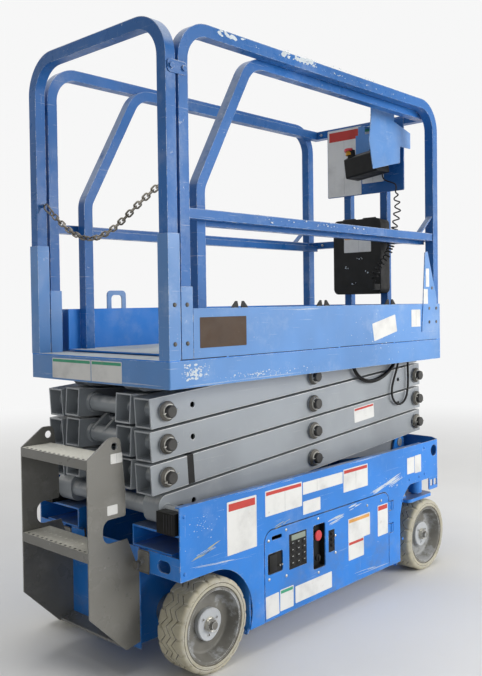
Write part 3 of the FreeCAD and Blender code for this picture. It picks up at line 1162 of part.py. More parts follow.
chassis_webs()
slide_channels()
end_walls()
side_plates()
front_wrap()
brackets()
ladder()
wheels()
rear_axle()
yokes()
trays()
ground_controls()
guards()
scissor()
slide_blocks()
lift_cylinder()
platform()
guard_rails()
rail_sockets()
extension()
control_station()
cords()

doc.recompute()
broken = [obj.Name for obj in doc.Objects if "Invalid" in obj.State or "Error" in obj.State]
if broken:
    raise RuntimeError(f"these objects failed: {broken}")
for obj in nodes:
    if obj.Shape.isNull() or not obj.Shape.isValid() or not obj.Shape.Solids:
        raise RuntimeError(f"{obj.Label} has no valid solid")
for obj in nodes:
    obj.Shape.exportStep(f"parts/{obj.Label}.step")
print(len(nodes), "sub-parts")
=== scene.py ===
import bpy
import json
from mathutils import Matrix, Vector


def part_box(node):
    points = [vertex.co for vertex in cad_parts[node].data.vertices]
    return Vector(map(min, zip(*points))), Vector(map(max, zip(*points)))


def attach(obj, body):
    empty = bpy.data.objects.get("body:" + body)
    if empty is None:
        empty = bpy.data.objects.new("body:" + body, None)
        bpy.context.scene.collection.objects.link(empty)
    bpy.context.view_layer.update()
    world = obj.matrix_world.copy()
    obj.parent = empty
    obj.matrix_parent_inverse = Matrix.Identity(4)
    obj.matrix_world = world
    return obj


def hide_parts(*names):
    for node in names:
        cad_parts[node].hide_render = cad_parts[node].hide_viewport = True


bl_info = {
    "name": "Scissor Lift Dressing",
    "version": (1, 0, 0),
    "blender": (4, 5, 0),
    "location": "View3D > Sidebar > Scissor Lift",
    "description": "Dresses a packed scissor lift: worn paint, tyres, cords, fasteners, labels and a studio",
    "category": "Object",
}

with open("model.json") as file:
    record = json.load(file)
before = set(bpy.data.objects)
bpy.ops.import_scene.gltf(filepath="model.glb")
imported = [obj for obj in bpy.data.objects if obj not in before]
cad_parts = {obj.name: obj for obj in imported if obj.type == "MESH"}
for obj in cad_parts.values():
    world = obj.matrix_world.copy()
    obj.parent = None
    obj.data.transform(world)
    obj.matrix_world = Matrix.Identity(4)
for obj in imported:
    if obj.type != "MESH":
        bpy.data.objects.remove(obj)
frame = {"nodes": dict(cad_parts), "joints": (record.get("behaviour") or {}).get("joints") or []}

import json
import math
import random

import bmesh
import bpy
from bpy.props import FloatProperty, FloatVectorProperty, IntProperty, PointerProperty
from mathutils import Matrix, Vector

NODES = frame["nodes"]
JOINTS = {joint["name"]: joint for joint in frame["joints"]}
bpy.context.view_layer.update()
WHEELS = (("rear_right", -1), ("rear_left", 1), ("front_right", -1), ("front_left", 1))

# Places that the frame gives, in metres

FRONT_PIN_X = JOINTS["lift"]["pos_m"][0]
REAR_PIN_X = JOINTS["low_block_pin"]["pos_m"][0]
LOW_PIN_Z = JOINTS["lift"]["pos_m"][2]
PIN_RISE = JOINTS["arm2_inner_pin"]["pos_m"][2] - LOW_PIN_Z
ARM_LEAN = math.atan2(PIN_RISE, FRONT_PIN_X - REAR_PIN_X)
SIDE_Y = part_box("side_plate_left")[1].y
SIDE_REAR_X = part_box("side_plate_left")[0].x
DECK_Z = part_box("main_deck")[1].z
PIN_END_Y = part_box("arm2_inner")[1].y

# Places read off the solids, in metres

ARM_FACE_Y = 0.275
RAIL_FACE_Y = 0.371
TOE_FACE_Y = 0.375
GUSSET_FACE_Y = 0.379
HUB_FACE_Y = 0.353
SKIRT_REAR_X = -0.735
CASE_REAR_X = 0.788
BOARD_REAR_X = 0.861
FRONT_RAIL_X = 0.867
ARCH_REAR_X = -0.7265
LUG_FACE_Y = 0.362
LADDER_FACE_Y = 0.185
LATCH_FACE_Y = 0.332
PANEL_REAR_X = -0.314
TYRE_BORE = 0.121
TOE_Z = DECK_Z + 0.158
CLEAT_Z = 0.3585
LADDER_STEPS = ((0.712, 0.115), (0.426, 0.105))  # height and depth of each

# Flat faces, each as the axis that it crosses, where, and which way it looks

RIGHT_SIDE = ("y", -SIDE_Y, -1)
LEFT_SIDE = ("y", SIDE_Y, 1)
TOE = ("y", -TOE_FACE_Y, -1)
SKIRT = ("x", SKIRT_REAR_X, -1)
CASE = ("x", CASE_REAR_X, -1)
RAIL = ("y", -RAIL_FACE_Y, -1)
GUSSET = ("y", -GUSSET_FACE_Y, -1)
ARM = ("y", -ARM_FACE_Y, -1)
BOARD = ("x", BOARD_REAR_X, -1)
ARCH = ("x", ARCH_REAR_X, -1)
LADDER = ("y", -LADDER_FACE_Y, -1)
LATCH = ("y", LATCH_FACE_Y, -1)


# Settings

def colour(name, note, value):
    return FloatVectorProperty(name=name, description=note, subtype="COLOR", size=3, min=0, max=1, default=value)


def length(name, note, value):
    return FloatProperty(name=name, description=note, unit="LENGTH", min=0, default=value)


class LiftColours(bpy.types.PropertyGroup):
    paint: colour("Paint", "Blue paint of the chassis, platform and rails", (0.018, 0.195, 0.63))
    arms: colour("Arms", "Grey paint of the scissor arms", (0.285, 0.31, 0.335))
    ladder: colour("Ladder", "Grey paint of the entry ladder", (0.180, 0.176, 0.160))
    rubber: colour("Tyres", "Non-marking solid rubber", (0.46, 0.425, 0.315))
    rim: colour("Rims", "Wheel discs", (0.155, 0.15, 0.132))
    deck: colour("Deck", "Worn deck surface", (0.50, 0.53, 0.52))
    primer: colour("Primer", "What shows where paint is chipped", (0.62, 0.66, 0.68))


class LiftSizes(bpy.types.PropertyGroup):
    groove_depth: length("Groove depth", "Tread groove of a worn solid tyre", 0.0040)
    groove_width: length("Groove width", "Tread groove across", 0.0036)
    tread_teeth: IntProperty(name="Tread teeth", description="Zigzags round a tyre", min=8, default=18)
    link_length: length("Link length", "Entry chain link, outside", 0.036)
    link_width: length("Link width", "Entry chain link, outside", 0.0225)
    link_wire: length("Link wire", "Entry chain wire diameter", 0.0062)
    curly_wire: length("Curly cord", "Diameter of the control cord", 0.0062)
    curly_coil: length("Curly coil", "Outside of the control cord's coils", 0.034)
    label_thick: length("Label thickness", "Blank labels and plates", 0.0006)


# Finishes

class Finish:
    """One node material, built up from named layers."""

    def __init__(self, name, metallic=0.0):
        self.material = bpy.data.materials.new(name)
        self.material.use_nodes = True
        self.tree = self.material.node_tree
        self.shader = next(n for n in self.tree.nodes if n.type == "BSDF_PRINCIPLED")
        self.shader.inputs["Metallic"].default_value = metallic
        self.place = self.new("ShaderNodeTexCoord").outputs["Object"]

    def new(self, kind, **settings):
        made = self.tree.nodes.new(kind)
        for key, value in settings.items():
            setattr(made, key, value)
        return made

    def feed(self, socket, value):
        """Joins a socket to another one, or sets its colour or number."""
        if isinstance(value, bpy.types.NodeSocket):
            self.tree.links.new(value, socket)
        elif hasattr(value, "__len__"):
            socket.default_value = (*value, 1.0)[:4]
        else:
            socket.default_value = value

    def noise(self, scale, detail=4.0, rough=0.55, stretch=None, seed=0.0):
        """Cloudy noise fixed to the piece; the seed moves it along."""
        where = self.place
        if stretch or seed:
            mapping = self.new("ShaderNodeMapping")
            self.feed(mapping.inputs["Vector"], self.place)
            mapping.inputs["Scale"].default_value = stretch or (1, 1, 1)
            mapping.inputs["Location"].default_value = (seed, seed * 0.7, seed * 1.3)
            where = mapping.outputs["Vector"]
        made = self.new("ShaderNodeTexNoise")
        self.feed(made.inputs["Vector"], where)
        made.inputs["Scale"].default_value = scale
        made.inputs["Detail"].default_value = detail
        made.inputs["Roughness"].default_value = rough
        return made.outputs["Fac"]

    def band(self, value, low, high, start=0.0, stop=1.0):
        """Goes softly from start to stop while the value goes from low to high."""
        made = self.new("ShaderNodeMapRange", interpolation_type="SMOOTHSTEP")
        self.feed(made.inputs["Value"], value)
        for socket, number in (("From Min", low), ("From Max", high), ("To Min", start), ("To Max", stop)):
            made.inputs[socket].default_value = number
        return made.outputs["Result"]

    def spots(self, low, high, scale, detail=4.0, rough=0.55, seed=0.0, stretch=None):
        """Noise that is 0 below the first level and 1 above the second."""
        return self.band(self.noise(scale, detail, rough, stretch, seed), low, high)

    def calc(self, operation, first, second=0.0):
        made = self.new("ShaderNodeMath", operation=operation)
        self.feed(made.inputs[0], first)
        self.feed(made.inputs[1], second)
        return made.outputs["Value"]

    def mix(self, share, under, over):
        """One colour over another."""
        made = self.new("ShaderNodeMix", data_type="RGBA")
        self.feed(made.inputs[0], share)
        self.feed(made.inputs[6], under)
        self.feed(made.inputs[7], over)
        return made.outputs[2]

    def times(self, first, second):
        return self.calc("MULTIPLY", first, second)

    def cover(self, tone, over, share, most=None):
        """Lays a colour over a tone by its share, which most scales down."""
        return self.mix(share if most is None else self.times(share, most), tone, over)

    def axis(self, source, letter):
        split = self.new("ShaderNodeSeparateXYZ")
        self.feed(split.inputs[0], source)
        return split.outputs[letter]

    def facing_up(self):
        """1 on faces that look up."""
        return self.band(self.axis(self.new("ShaderNodeNewGeometry").outputs["Normal"], "Z"), 0.55, 0.9)

    def edges(self, width):
        """1 near a convex or concave edge, 0 on the flat."""
        bevel = self.new("ShaderNodeBevel", samples=4)
        bevel.inputs["Radius"].default_value = width
        dot = self.new("ShaderNodeVectorMath", operation="DOT_PRODUCT")
        self.feed(dot.inputs[0], bevel.outputs["Normal"])
        self.feed(dot.inputs[1], self.new("ShaderNodeNewGeometry").outputs["Normal"])
        return self.band(dot.outputs["Value"], 0.985, 0.90)

    def upper_edges(self, width):
        """1 on the round of an edge that looks up, and just below it: the mask of a painted highlight."""
        bevel = self.new("ShaderNodeBevel", samples=4)
        bevel.inputs["Radius"].default_value = width
        rise = self.band(self.axis(bevel.outputs["Normal"], "Z"), 0.15, 0.45)
        flat = self.axis(self.new("ShaderNodeNewGeometry").outputs["Normal"], "Z")
        return self.times(rise, self.band(flat, 0.97, 0.90))

    def finish(self, base, roughness, bump=None, depth=0.0006, strength=0.5):
        """Joins colour, roughness and bumps to the shader, and gives the material."""
        self.feed(self.shader.inputs["Base Color"], base)
        self.feed(self.shader.inputs["Roughness"], roughness)
        if bump is not None:
            made = self.new("ShaderNodeBump")
            made.inputs["Strength"].default_value = strength
            made.inputs["Distance"].default_value = depth
            self.feed(made.inputs["Height"], bump)
            self.feed(self.shader.inputs["Normal"], made.outputs["Normal"])
        return self.material


def tint(base, factor):
    """A lighter or darker shade of a colour."""
    return tuple(min(1.0, channel * factor) for channel in base)


def blend(first, second, share):
    """A colour between two others, by the share of the second."""
    return tuple(a * (1 - share) + b * share for a, b in zip(first, second))


def worn_paint(name, base, chips, wear, gloss=0.34, rust=None, fade=0.35, dust=0.0, shine=0.4, upper_edge_highlight=0.0,
               seed=0.0):
    """Painted steel: faded patches, scratches, chips, worn edges and dust, and on request a painted highlight
    along its upper edges.
    """
    skin = Finish(name)
    skin.shader.inputs["Specular IOR Level"].default_value = shine
    tone = skin.mix(skin.spots(0.32, 0.68, 2.3, 3, seed=seed), tint(base, 0.86), tint(base, 1.08))
    tone = skin.cover(tone, blend(base, chips, 0.45), skin.spots(0.5, 0.82, 6.5, 7, 0.68, seed + 3), fade)
    along = skin.spots(0.635, 0.665, 5, 6, 0.7, seed + 5, (1, 1, 26))
    upright = skin.spots(0.66, 0.69, 5, 6, 0.7, seed + 7, (30, 30, 1.2))
    tone = skin.cover(tone, blend(base, chips, 0.7), skin.calc("MAXIMUM", along, upright), 0.35 * wear)
    patches = skin.spots(0.48, 0.66, 3.1, 4, 0.6, seed + 9)
    chipped = skin.times(skin.spots(0.655, 0.675, 46, 7, 0.72, seed + 11), skin.times(patches, wear))
    rim = skin.times(skin.edges(0.0026), skin.spots(0.44, 0.60, 28, 6, 0.7, seed + 13))
    bare = skin.calc("MAXIMUM", chipped, skin.times(rim, 0.5 + 0.5 * wear))
    tone = skin.cover(tone, chips, bare)
    if rust:
        tone = skin.cover(tone, rust, skin.times(rim, skin.spots(0.58, 0.68, 13, 5, seed=seed + 17)))
    low = skin.band(skin.axis(skin.place, "Z"), 0.42, 0.02)
    grime = skin.times(low, skin.spots(0.42, 0.75, 9, 6, 0.65, seed + 19))
    tone = skin.cover(tone, (0.16, 0.15, 0.13), grime, 0.5)
    # painted highlight: the primer colour along the rounds of edges that look up, where the light catches them
    if upper_edge_highlight:
        line = skin.times(skin.upper_edges(0.006), skin.spots(0.30, 0.52, 9, 6, 0.7, seed + 33))
        tone = skin.cover(tone, chips, line, upper_edge_highlight)
    if dust:
        lying = skin.times(skin.facing_up(), skin.spots(0.25, 0.6, 11, 6, 0.65, seed + 29))
        tone = skin.cover(tone, (0.17, 0.165, 0.15), lying, dust)
    dull = skin.band(skin.noise(12, 5, seed=seed + 23), 0.3, 0.75, gloss - 0.06, gloss + 0.14)
    peel = skin.calc("ADD", skin.times(skin.noise(260, 2), 0.25), skin.times(bare, -0.8))
    return skin.finish(tone, dull, peel, 0.0004, 0.35)


def plain(name, base, rough, metallic, grain, depth=0.0003, contrast=0.12, dust=None, shine=0.5, seed=0.0):
    """Plastic, rubber or bare metal: tone and gloss vary a little, with a fine grain and dust on top faces."""
    skin = Finish(name, metallic=metallic)
    skin.shader.inputs["Specular IOR Level"].default_value = shine
    tone = skin.mix(skin.spots(0.3, 0.7, 9, 5, seed=seed), tint(base, 1 - contrast), tint(base, 1 + contrast))
    if dust:
        tone = skin.cover(tone, dust, skin.times(skin.facing_up(), skin.spots(0.3, 0.7, 14, 6, 0.6, seed + 2)))
    gloss = skin.band(skin.noise(22, 5, seed=seed + 4), 0.3, 0.7, *rough)
    return skin.finish(tone, gloss, skin.noise(grain, 3), depth, 0.4)


def rubber_finish(name, base):
    """Solid rubber, walked grey: paler on the sidewalls, with chipped pale shoulders."""
    skin = Finish(name)
    tone = skin.mix(skin.spots(0.32, 0.7, 5, 6, 0.65), tint(base, 0.72), tint(base, 1.25))
    tone = skin.cover(tone, (0.50, 0.47, 0.38), skin.spots(0.52, 0.72, 17, 8, 0.72, 4), 0.55)
    tone = skin.cover(tone, (0.10, 0.09, 0.07), skin.spots(0.62, 0.74, 31, 6, 0.7, 8), 0.7)
    outward = skin.calc("ABSOLUTE", skin.axis(skin.new("ShaderNodeTexCoord").outputs["Normal"], "Y"))
    wall = skin.times(skin.band(outward, 0.6, 0.95), skin.spots(0.35, 0.6, 24, 6, 0.7, 6))
    tone = skin.cover(tone, (0.40, 0.385, 0.33), wall, 0.7)
    rim = skin.times(skin.edges(0.0035), skin.spots(0.42, 0.55, 34, 6, 0.7, 2))
    tone = skin.cover(tone, (0.62, 0.60, 0.54), rim, 0.85)
    gloss = skin.band(skin.noise(20, 4), 0.3, 0.7, 0.72, 0.92)
    return skin.finish(tone, gloss, skin.noise(150, 6, 0.7), 0.0008, 0.5)


def rim_finish(name, base, paint):
    """Wheel disc paint with bare patches, worn edges and some rust."""
    skin = Finish(name)
    tone = skin.mix(skin.spots(0.3, 0.7, 7, 5, 0.6), tint(base, 0.7), tint(base, 1.15))
    tone = skin.cover(tone, paint, skin.spots(0.49, 0.58, 6, 7, 0.7, 6), 0.8)
    worn = skin.times(skin.edges(0.003), skin.spots(0.42, 0.6, 33, 5, seed=2))
    tone = skin.cover(tone, (0.66, 0.67, 0.66), worn)
    tone = skin.cover(tone, (0.14, 0.08, 0.04), skin.spots(0.66, 0.72, 21, 7, 0.7, 12), 0.5)
    return skin.finish(tone, skin.band(skin.noise(16, 4), 0.3, 0.7, 0.45, 0.7), skin.noise(90, 5), 0.0006, 0.5)


def deck_finish(name, base, paint):
    """Sand-textured deck, walked pale, with paint left near its edges."""
    skin = Finish(name)
    tone = skin.mix(skin.spots(0.3, 0.7, 4, 6, 0.65), tint(base, 0.82), tint(base, 1.12))
    tone = skin.cover(tone, paint, skin.spots(0.58, 0.66, 7, 8, 0.72, 5), 0.45)
    tone = skin.cover(tone, (0.20, 0.20, 0.19), skin.spots(0.62, 0.66, 4, 6, 0.7, 8, (1.2, 22, 1)), 0.5)
    side = skin.mix(skin.spots(0.45, 0.8, 6, 6, 0.65, 12), paint, blend(paint, base, 0.25))
    tone = skin.mix(skin.facing_up(), side, tone)
    gloss = skin.band(skin.noise(18, 4), 0.3, 0.7, 0.5, 0.75)
    return skin.finish(tone, gloss, skin.noise(420, 2, 0.7), 0.0008, 0.5)


def paper_finish(name, base, age=0.5):
    """Printed film or bare primer: matt, a little yellowed and stained."""
    skin = Finish(name)
    skin.shader.inputs["Specular IOR Level"].default_value = 0.2
    tone = skin.mix(skin.spots(0.4, 0.8, 11, 5, 0.6), base, tint(base, 0.78))
    tone = skin.cover(tone, (0.36, 0.33, 0.26), skin.spots(0.6, 0.72, 23, 8, 0.75, 3), age)
    return skin.finish(tone, skin.band(skin.noise(30, 3), 0.3, 0.7, 0.35, 0.55), skin.noise(120, 3), 0.0002, 0.3)


def make_finishes():
    """Every finish of the machine, by its plain name."""
    chosen = bpy.context.scene.lift_colours
    paint, primer = tuple(chosen.paint), tuple(chosen.primer)
    rust = (0.13, 0.06, 0.025)
    return {
        "body": worn_paint("body paint", paint, primer, 0.8, rust=rust, dust=0.7),
        # platform panels: a paler, greyer copy of the blue paint, which paints the sheen on them
        "panel": worn_paint("panel paint with painted sheen", tint(blend(paint, (0.62, 0.78, 0.60), 0.14), 0.88), primer, 0.8, 0.36,
                            fade=0.5, seed=43),
        # rails: a darker copy of the blue paint as painted shade, with a painted highlight along their upper edges
        "rail": worn_paint("rail paint with painted shade", blend(tint(paint, 0.60), primer, 0.02), primer, 1.0, 0.30, fade=0.45,
                           shine=0.2, upper_edge_highlight=0.35, seed=31),
        # arms: a strong painted highlight along their upper edges
        "arm": worn_paint("arm paint", tuple(chosen.arms), (0.62, 0.63, 0.62), 0.45, 0.36, fade=0.25, upper_edge_highlight=0.8,
                          seed=57),
        "ladder": worn_paint("ladder paint", tuple(chosen.ladder), (0.48, 0.48, 0.46), 0.55, 0.30, rust=rust,
                             fade=0.6, seed=71),
        "step": worn_paint("step paint", (0.76, 0.735, 0.64), (0.80, 0.78, 0.70), 0.7, 0.6, rust=rust, fade=0.5,
                           seed=83),
        "tyre": rubber_finish("tyre rubber", tuple(chosen.rubber)),
        "groove": plain("rubber groove", (0.12, 0.11, 0.085), (0.7, 0.9), 0.0, 150, 0.0004, 0.3),
        "rim": rim_finish("rim paint", tuple(chosen.rim), (0.33, 0.34, 0.345)),
        "hub": worn_paint("hub paint", (0.43, 0.45, 0.47), (0.60, 0.61, 0.60), 0.6, 0.42, rust=rust, fade=0.2,
                          seed=91),
        "deck": deck_finish("deck sand", tuple(chosen.deck), paint),
        "steel": plain("bare steel", (0.42, 0.41, 0.38), (0.28, 0.48), 0.9, 140),
        "pin": plain("greased pin", (0.035, 0.034, 0.032), (0.3, 0.5), 0.1, 110, 0.0005, 0.4, shine=0.35, seed=9),
        "washer": plain("worn washer", (0.105, 0.100, 0.088), (0.4, 0.6), 0.1, 120, 0.0004, 0.6, shine=0.3,
                        seed=19),
        "zinc": plain("zinc fastener", (0.50, 0.49, 0.45), (0.25, 0.42), 0.95, 160, seed=3),
        "chain": plain("chain steel", (0.21, 0.19, 0.16), (0.3, 0.55), 0.8, 90, 0.0004, 0.5, seed=15),
        "chrome": plain("cylinder rod", (0.75, 0.76, 0.78), (0.06, 0.16), 1.0, 300, 0.00005, 0.03),
        "black": plain("black plastic", (0.009, 0.009, 0.0085), (0.45, 0.65), 0.0, 240, 0.0003, 0.3,
                       (0.03, 0.03, 0.027), 0.2),
        "case": plain("battery case", (0.030, 0.031, 0.034), (0.4, 0.6), 0.0, 200, 0.0003, 0.3,
                      (0.13, 0.12, 0.11), 0.3),
        "cord": plain("cord rubber", (0.012, 0.012, 0.012), (0.45, 0.62), 0.0, 300, 0.0002, 0.3, shine=0.2),
        "red": plain("red plastic", (0.55, 0.035, 0.045), (0.25, 0.4), 0.0, 200, 0.0001),
        "yellow": plain("yellow plastic", (0.62, 0.30, 0.01), (0.35, 0.5), 0.0, 200, 0.0001),
        "grey": plain("grey plastic", (0.30, 0.31, 0.31), (0.4, 0.6), 0.0, 200, 0.0002),
        "screen": plain("screen glass", (0.23, 0.27, 0.22), (0.08, 0.16), 0.0, 60, 0.00002, 0.06),
        "paper": paper_finish("label white", (0.72, 0.72, 0.70)),
        "label_red": paper_finish("label red", (0.52, 0.06, 0.05), 0.3),
        "label_orange": paper_finish("label orange", (0.72, 0.36, 0.10), 0.3),
        "label_green": paper_finish("label green", (0.06, 0.34, 0.20), 0.3),
        "label_grey": paper_finish("label grey", (0.42, 0.43, 0.43), 0.3),
        # pale paint of the strips along the arm edges: a painted highlight
        "bare": paper_finish("arm edge highlight paint", (0.60, 0.61, 0.60), 0.5),
        "chip": paper_finish("chipped primer", (0.56, 0.62, 0.66), 0.4),
        "gouge": paper_finish("gouged paint", (0.48, 0.47, 0.24), 0.5),
        "label_dark": paper_finish("label dark", (0.06, 0.035, 0.02), 0.3),
    }


FINISH = {}


# Shapes

def add(name, data):
    """A new object in the scene."""
    made = bpy.data.objects.new(name, data)
    bpy.context.scene.collection.objects.link(made)
    return made


def dress(bm, name, body, finishes, smooth=32, replaces=()):
    """Turns a bmesh into a piece that rides on a body. finishes is one name or a list, by face index."""
    bmesh.ops.recalc_face_normals(bm, faces=bm.faces)
    mesh = bpy.data.meshes.new(name)
    bm.to_mesh(mesh)
    bm.free()
    for each in [finishes] if isinstance(finishes, str) else finishes:
        mesh.materials.append(FINISH[each])
    mesh.shade_smooth()
    mesh.set_sharp_from_angle(angle=math.radians(smooth))
    piece = add(name, mesh)
    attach(piece, body)
    if replaces:
        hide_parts(*replaces)


def circle(centre, first, other, radius, count):
    """Points round a centre, in the plane of two directions."""
    angles = (2 * math.pi * k / count for k in range(count))
    return [centre + (first * math.cos(a) + other * math.sin(a)) * radius for a in angles]


def corners_at(bm, points):
    """A corner of the mesh at each point."""
    return [bm.verts.new(point) for point in points]


def bridge(bm, rings, closed=False, finish=0):
    """Faces between neighbouring rings of equal size."""
    pairs = list(zip(rings, rings[1:]))
    if closed:
        pairs.append((rings[-1], rings[0]))
    for low, high in pairs:
        count = len(low)
        for k in range(count):
            after = (k + 1) % count
            bm.faces.new((low[k], low[after], high[after], high[k])).material_index = finish


def cap(bm, rings, finish=0):
    """Faces over the first and the last ring."""
    for ring in (rings[0], rings[-1]):
        bm.faces.new(ring).material_index = finish


def turn(bm, at, axis, profile, segments=32, finish=0):
    """A closed solid turned about an axis; the profile gives distance along it and radius."""
    axis = Vector(axis).normalized()
    across = axis.orthogonal().normalized()
    other = axis.cross(across)
    rings = [corners_at(bm, circle(Vector(at) + axis * along, across, other, radius, segments))
             for along, radius in profile]
    bridge(bm, rings, finish=finish)
    cap(bm, rings, finish)
    return rings


def slab(bm, low, high, round_off, steps=2, finish=0, turned=None):
    """A block with rounded edges, turned about its own middle if asked."""
    low, high = Vector(low), Vector(high)
    size = high - low
    made = bmesh.ops.create_cube(bm, size=1)["verts"]
    bmesh.ops.scale(bm, verts=made, vec=size)
    edges = list({edge for vert in made for edge in vert.link_edges})
    result = bmesh.ops.bevel(bm, geom=edges, offset=min(round_off, min(size) * 0.45), segments=steps,
                             profile=0.5, affect="EDGES")
    faces = list({face for vert in result["verts"] for face in vert.link_faces})
    for face in faces:
        face.material_index = finish
    made = list({vert for face in faces for vert in face.verts})
    if turned is not None:
        bmesh.ops.transform(bm, matrix=turned, verts=made)
    bmesh.ops.translate(bm, vec=(low + high) / 2, verts=made)


def hexagon(bm, at, axis, across_flats, height, castle=0.0):
    """A hex nut or bolt head with chamfered corners; castle is the depth of its slots."""
    axis = Vector(axis).normalized()
    first = axis.orthogonal().normalized()
    other = axis.cross(first)
    count, half = 36, across_flats / 2

    def ring(along, limit):
        made = []
        for k in range(count):
            angle = 2 * math.pi * k / count
            corner = half / math.cos((angle + math.pi / 6) % (math.pi / 3) - math.pi / 6)
            sunk = castle if along > height / 2 and k % 6 == 0 else 0
            ray = first * math.cos(angle) + other * math.sin(angle)
            made.append(bm.verts.new(Vector(at) + axis * (along - sunk) + ray * min(corner, limit)))
        return made

    chamfer = height * 0.14
    rings = [ring(0, half * 1.02), ring(chamfer, 1), ring(height - chamfer, 1), ring(height, half * 1.02)]
    bridge(bm, rings)
    bm.faces.new(rings[0])
    hub = bm.verts.new(Vector(at) + axis * (height - castle))
    for k in range(count):
        bm.faces.new((rings[-1][k], rings[-1][(k + 1) % count], hub))


def dome(bm, at, axis, radius, height):
    """A button head."""
    turn(bm, at, axis, [(0, radius), (height * 0.3, radius * 0.99), (height * 0.65, radius * 0.85),
                        (height * 0.92, radius * 0.5), (height, radius * 0.12)], 20)


def sweep(bm, points, radius, sides=8, closed=False, finish=0):
    """A round wire along points, capped unless closed."""
    points = [Vector(p) for p in points]
    count = len(points)
    rings, side = [], None
    for k, here in enumerate(points):
        before = points[(k - 1) % count] if closed or k else here
        after = points[(k + 1) % count] if closed or k < count - 1 else here
        along = (after - before).normalized()
        side = along.orthogonal() if side is None else side - along * side.dot(along)
        side.normalize()
        rings.append(corners_at(bm, circle(here, side, along.cross(side), radius, sides)))
    bridge(bm, rings, closed, finish)
    if not closed:
        cap(bm, rings, finish)


def outline_plate(bm, points, thick, place, finish=0):
    """A flat plate from 2-D points, thick above its plane, set by a matrix."""
    low, high = [corners_at(bm, (place @ Vector((u, v, level)) for u, v in points)) for level in (0, thick)]
    bm.faces.new(low[::-1]).material_index = finish
    bm.faces.new(high).material_index = finish
    bridge(bm, [low, high], finish=finish)


def face_place(face):
    """Lays a plate on a face, its thickness outward. The faces across X all look to the rear."""
    letter, level, outward = face
    rows = [(1, 0, 0, 0), (0, 0, outward, level)]
    if letter == "x":
        rows.reverse()
    return Matrix((*rows, (0, 1, 0, 0), (0, 0, 0, 1)))


def rounded_rectangle(low, high, radius, steps=4):
    """Corner points of a rounded rectangle from its low to its high corner."""
    corners = ((high[0] - radius, high[1] - radius, 0), (low[0] + radius, high[1] - radius, 90),
               (low[0] + radius, low[1] + radius, 180), (high[0] - radius, low[1] + radius, 270))
    points = []
    for u, v, start in corners:
        for k in range(steps + 1):
            angle = math.radians(start + 90 * k / steps)
            points.append((u + radius * math.cos(angle), v + radius * math.sin(angle)))
    return points


def smooth_curve(name, points, diameter, resolution):
    """A round cord on one open NURBS line, with the points as its controls."""
    data = bpy.data.curves.new(name, "CURVE")
    data.dimensions = "3D"
    line = data.splines.new("NURBS")
    line.points.add(len(points) - 1)
    for control, point in zip(line.points, points):
        control.co = (*point, 1)
    line.order_u = 3
    line.use_endpoint_u = True
    line.resolution_u = resolution
    data.bevel_depth = diameter / 2
    data.bevel_resolution = 3
    data.use_fill_caps = True
    return add(name, data)


def read_route(points, resolution=12):
    """Points along the smooth line that the route's controls give."""
    guide = smooth_curve("route", points, 0, resolution)
    mesh = bpy.data.meshes.new_from_object(guide)
    found = [vert.co.copy() for vert in mesh.vertices]
    data = guide.data
    bpy.data.objects.remove(guide)
    bpy.data.curves.remove(data)
    bpy.data.meshes.remove(mesh)
    return found


def measure(points):
    """Length of a line along its points."""
    return sum((b - a).length for a, b in zip(points, points[1:]))


def evenly(points, spacing):
    """Points and directions along a line, each spacing from the last."""
    made, carry = [], 0.0
    for a, b in zip(points, points[1:]):
        run = (b - a).length
        while carry <= run:
            made.append((a.lerp(b, carry / run), (b - a).normalized()))
            carry += spacing
        carry -= run
    return made


# Tyres

def tread_ring_mesh(bm, centre, side, radius, half, sizes):
    """A worn solid tyre: zigzag grooves round the tread, slotted shoulders and two rings in each sidewall."""
    steps = 12
    count = sizes.tread_teeth * steps
    depth, groove = sizes.groove_depth, sizes.groove_width
    tooth, lip, slot = 0.0115, 0.0008, 0.0036
    crown = half - 0.015
    # each row: place across, drop from the tread, then 1 or 0 for zigzag, slotted and dark
    columns = [(-crown, 0, 0, 1, 0), (0.007 - crown, 0, 0, 1, 0)]
    for lane in (-0.024, 0.0, 0.024):
        columns += [(lane - groove / 2 - lip, 0, 1, 0, 0), (lane - groove / 2, depth, 1, 0, 1),
                    (lane + groove / 2, depth, 1, 0, 1), (lane + groove / 2 + lip, 0, 1, 0, 0)]
    columns += [(crown - 0.007, 0, 0, 1, 0), (crown, 0, 0, 1, 0)]
    shoulder = [(crown + 0.007, 0.0012, 0, 1, 0), (crown + 0.0115, 0.0045, 0, 1, 0),
                (half - 0.001, 0.0095, 0, 1, 0), (half, 0.0125, 0, 0, 0), (half, 0.0155, 0, 0, 0),
                (half - 0.0016, 0.0160, 0, 0, 1),
                (half - 0.0016, 0.0180, 0, 0, 1), (half, 0.0186, 0, 0, 0), (half, 0.0268, 0, 0, 0),
                (half - 0.0014, 0.0274, 0, 0, 1), (half - 0.0014, radius - TYRE_BORE, 0, 0, 1)]
    profile = [(-y, *rest) for y, *rest in reversed(shoulder)] + columns + shoulder
    rings = []
    for y, drop, weave, slotted, _ in profile:
        ring = []
        for k in range(count):
            angle = 2 * math.pi * k / count
            wave = 4 * abs(k % steps / steps - 0.5) - 1
            sunk = drop
            if slotted and (k + (steps // 2 if y < 0 else 0)) % steps in (0, 1):
                sunk += slot
            level, across = radius - sunk, y + weave * tooth * wave
            place = Vector((level * math.cos(angle), side * across, level * math.sin(angle)))
            ring.append(bm.verts.new(centre + place))
        rings.append(ring)
    marks = [row[4] for row in profile]
    for k, ring in enumerate(rings):
        after = (k + 1) % len(rings)
        bridge(bm, [ring, rings[after]], finish=min(marks[k], marks[after]))


def build_tyres(sizes):
    """Treaded tyres in place of the plain ones."""
    for wheel, side in WHEELS:
        low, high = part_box(wheel + "_tyre")
        bm = bmesh.new()
        tread_ring_mesh(bm, (low + high) / 2, side, (high.z - low.z) / 2, (high.y - low.y) / 2, sizes)
        dress(bm, wheel + "_tread", "wheel_" + wheel, ["tyre", "groove"], 28, [wheel + "_tyre"])


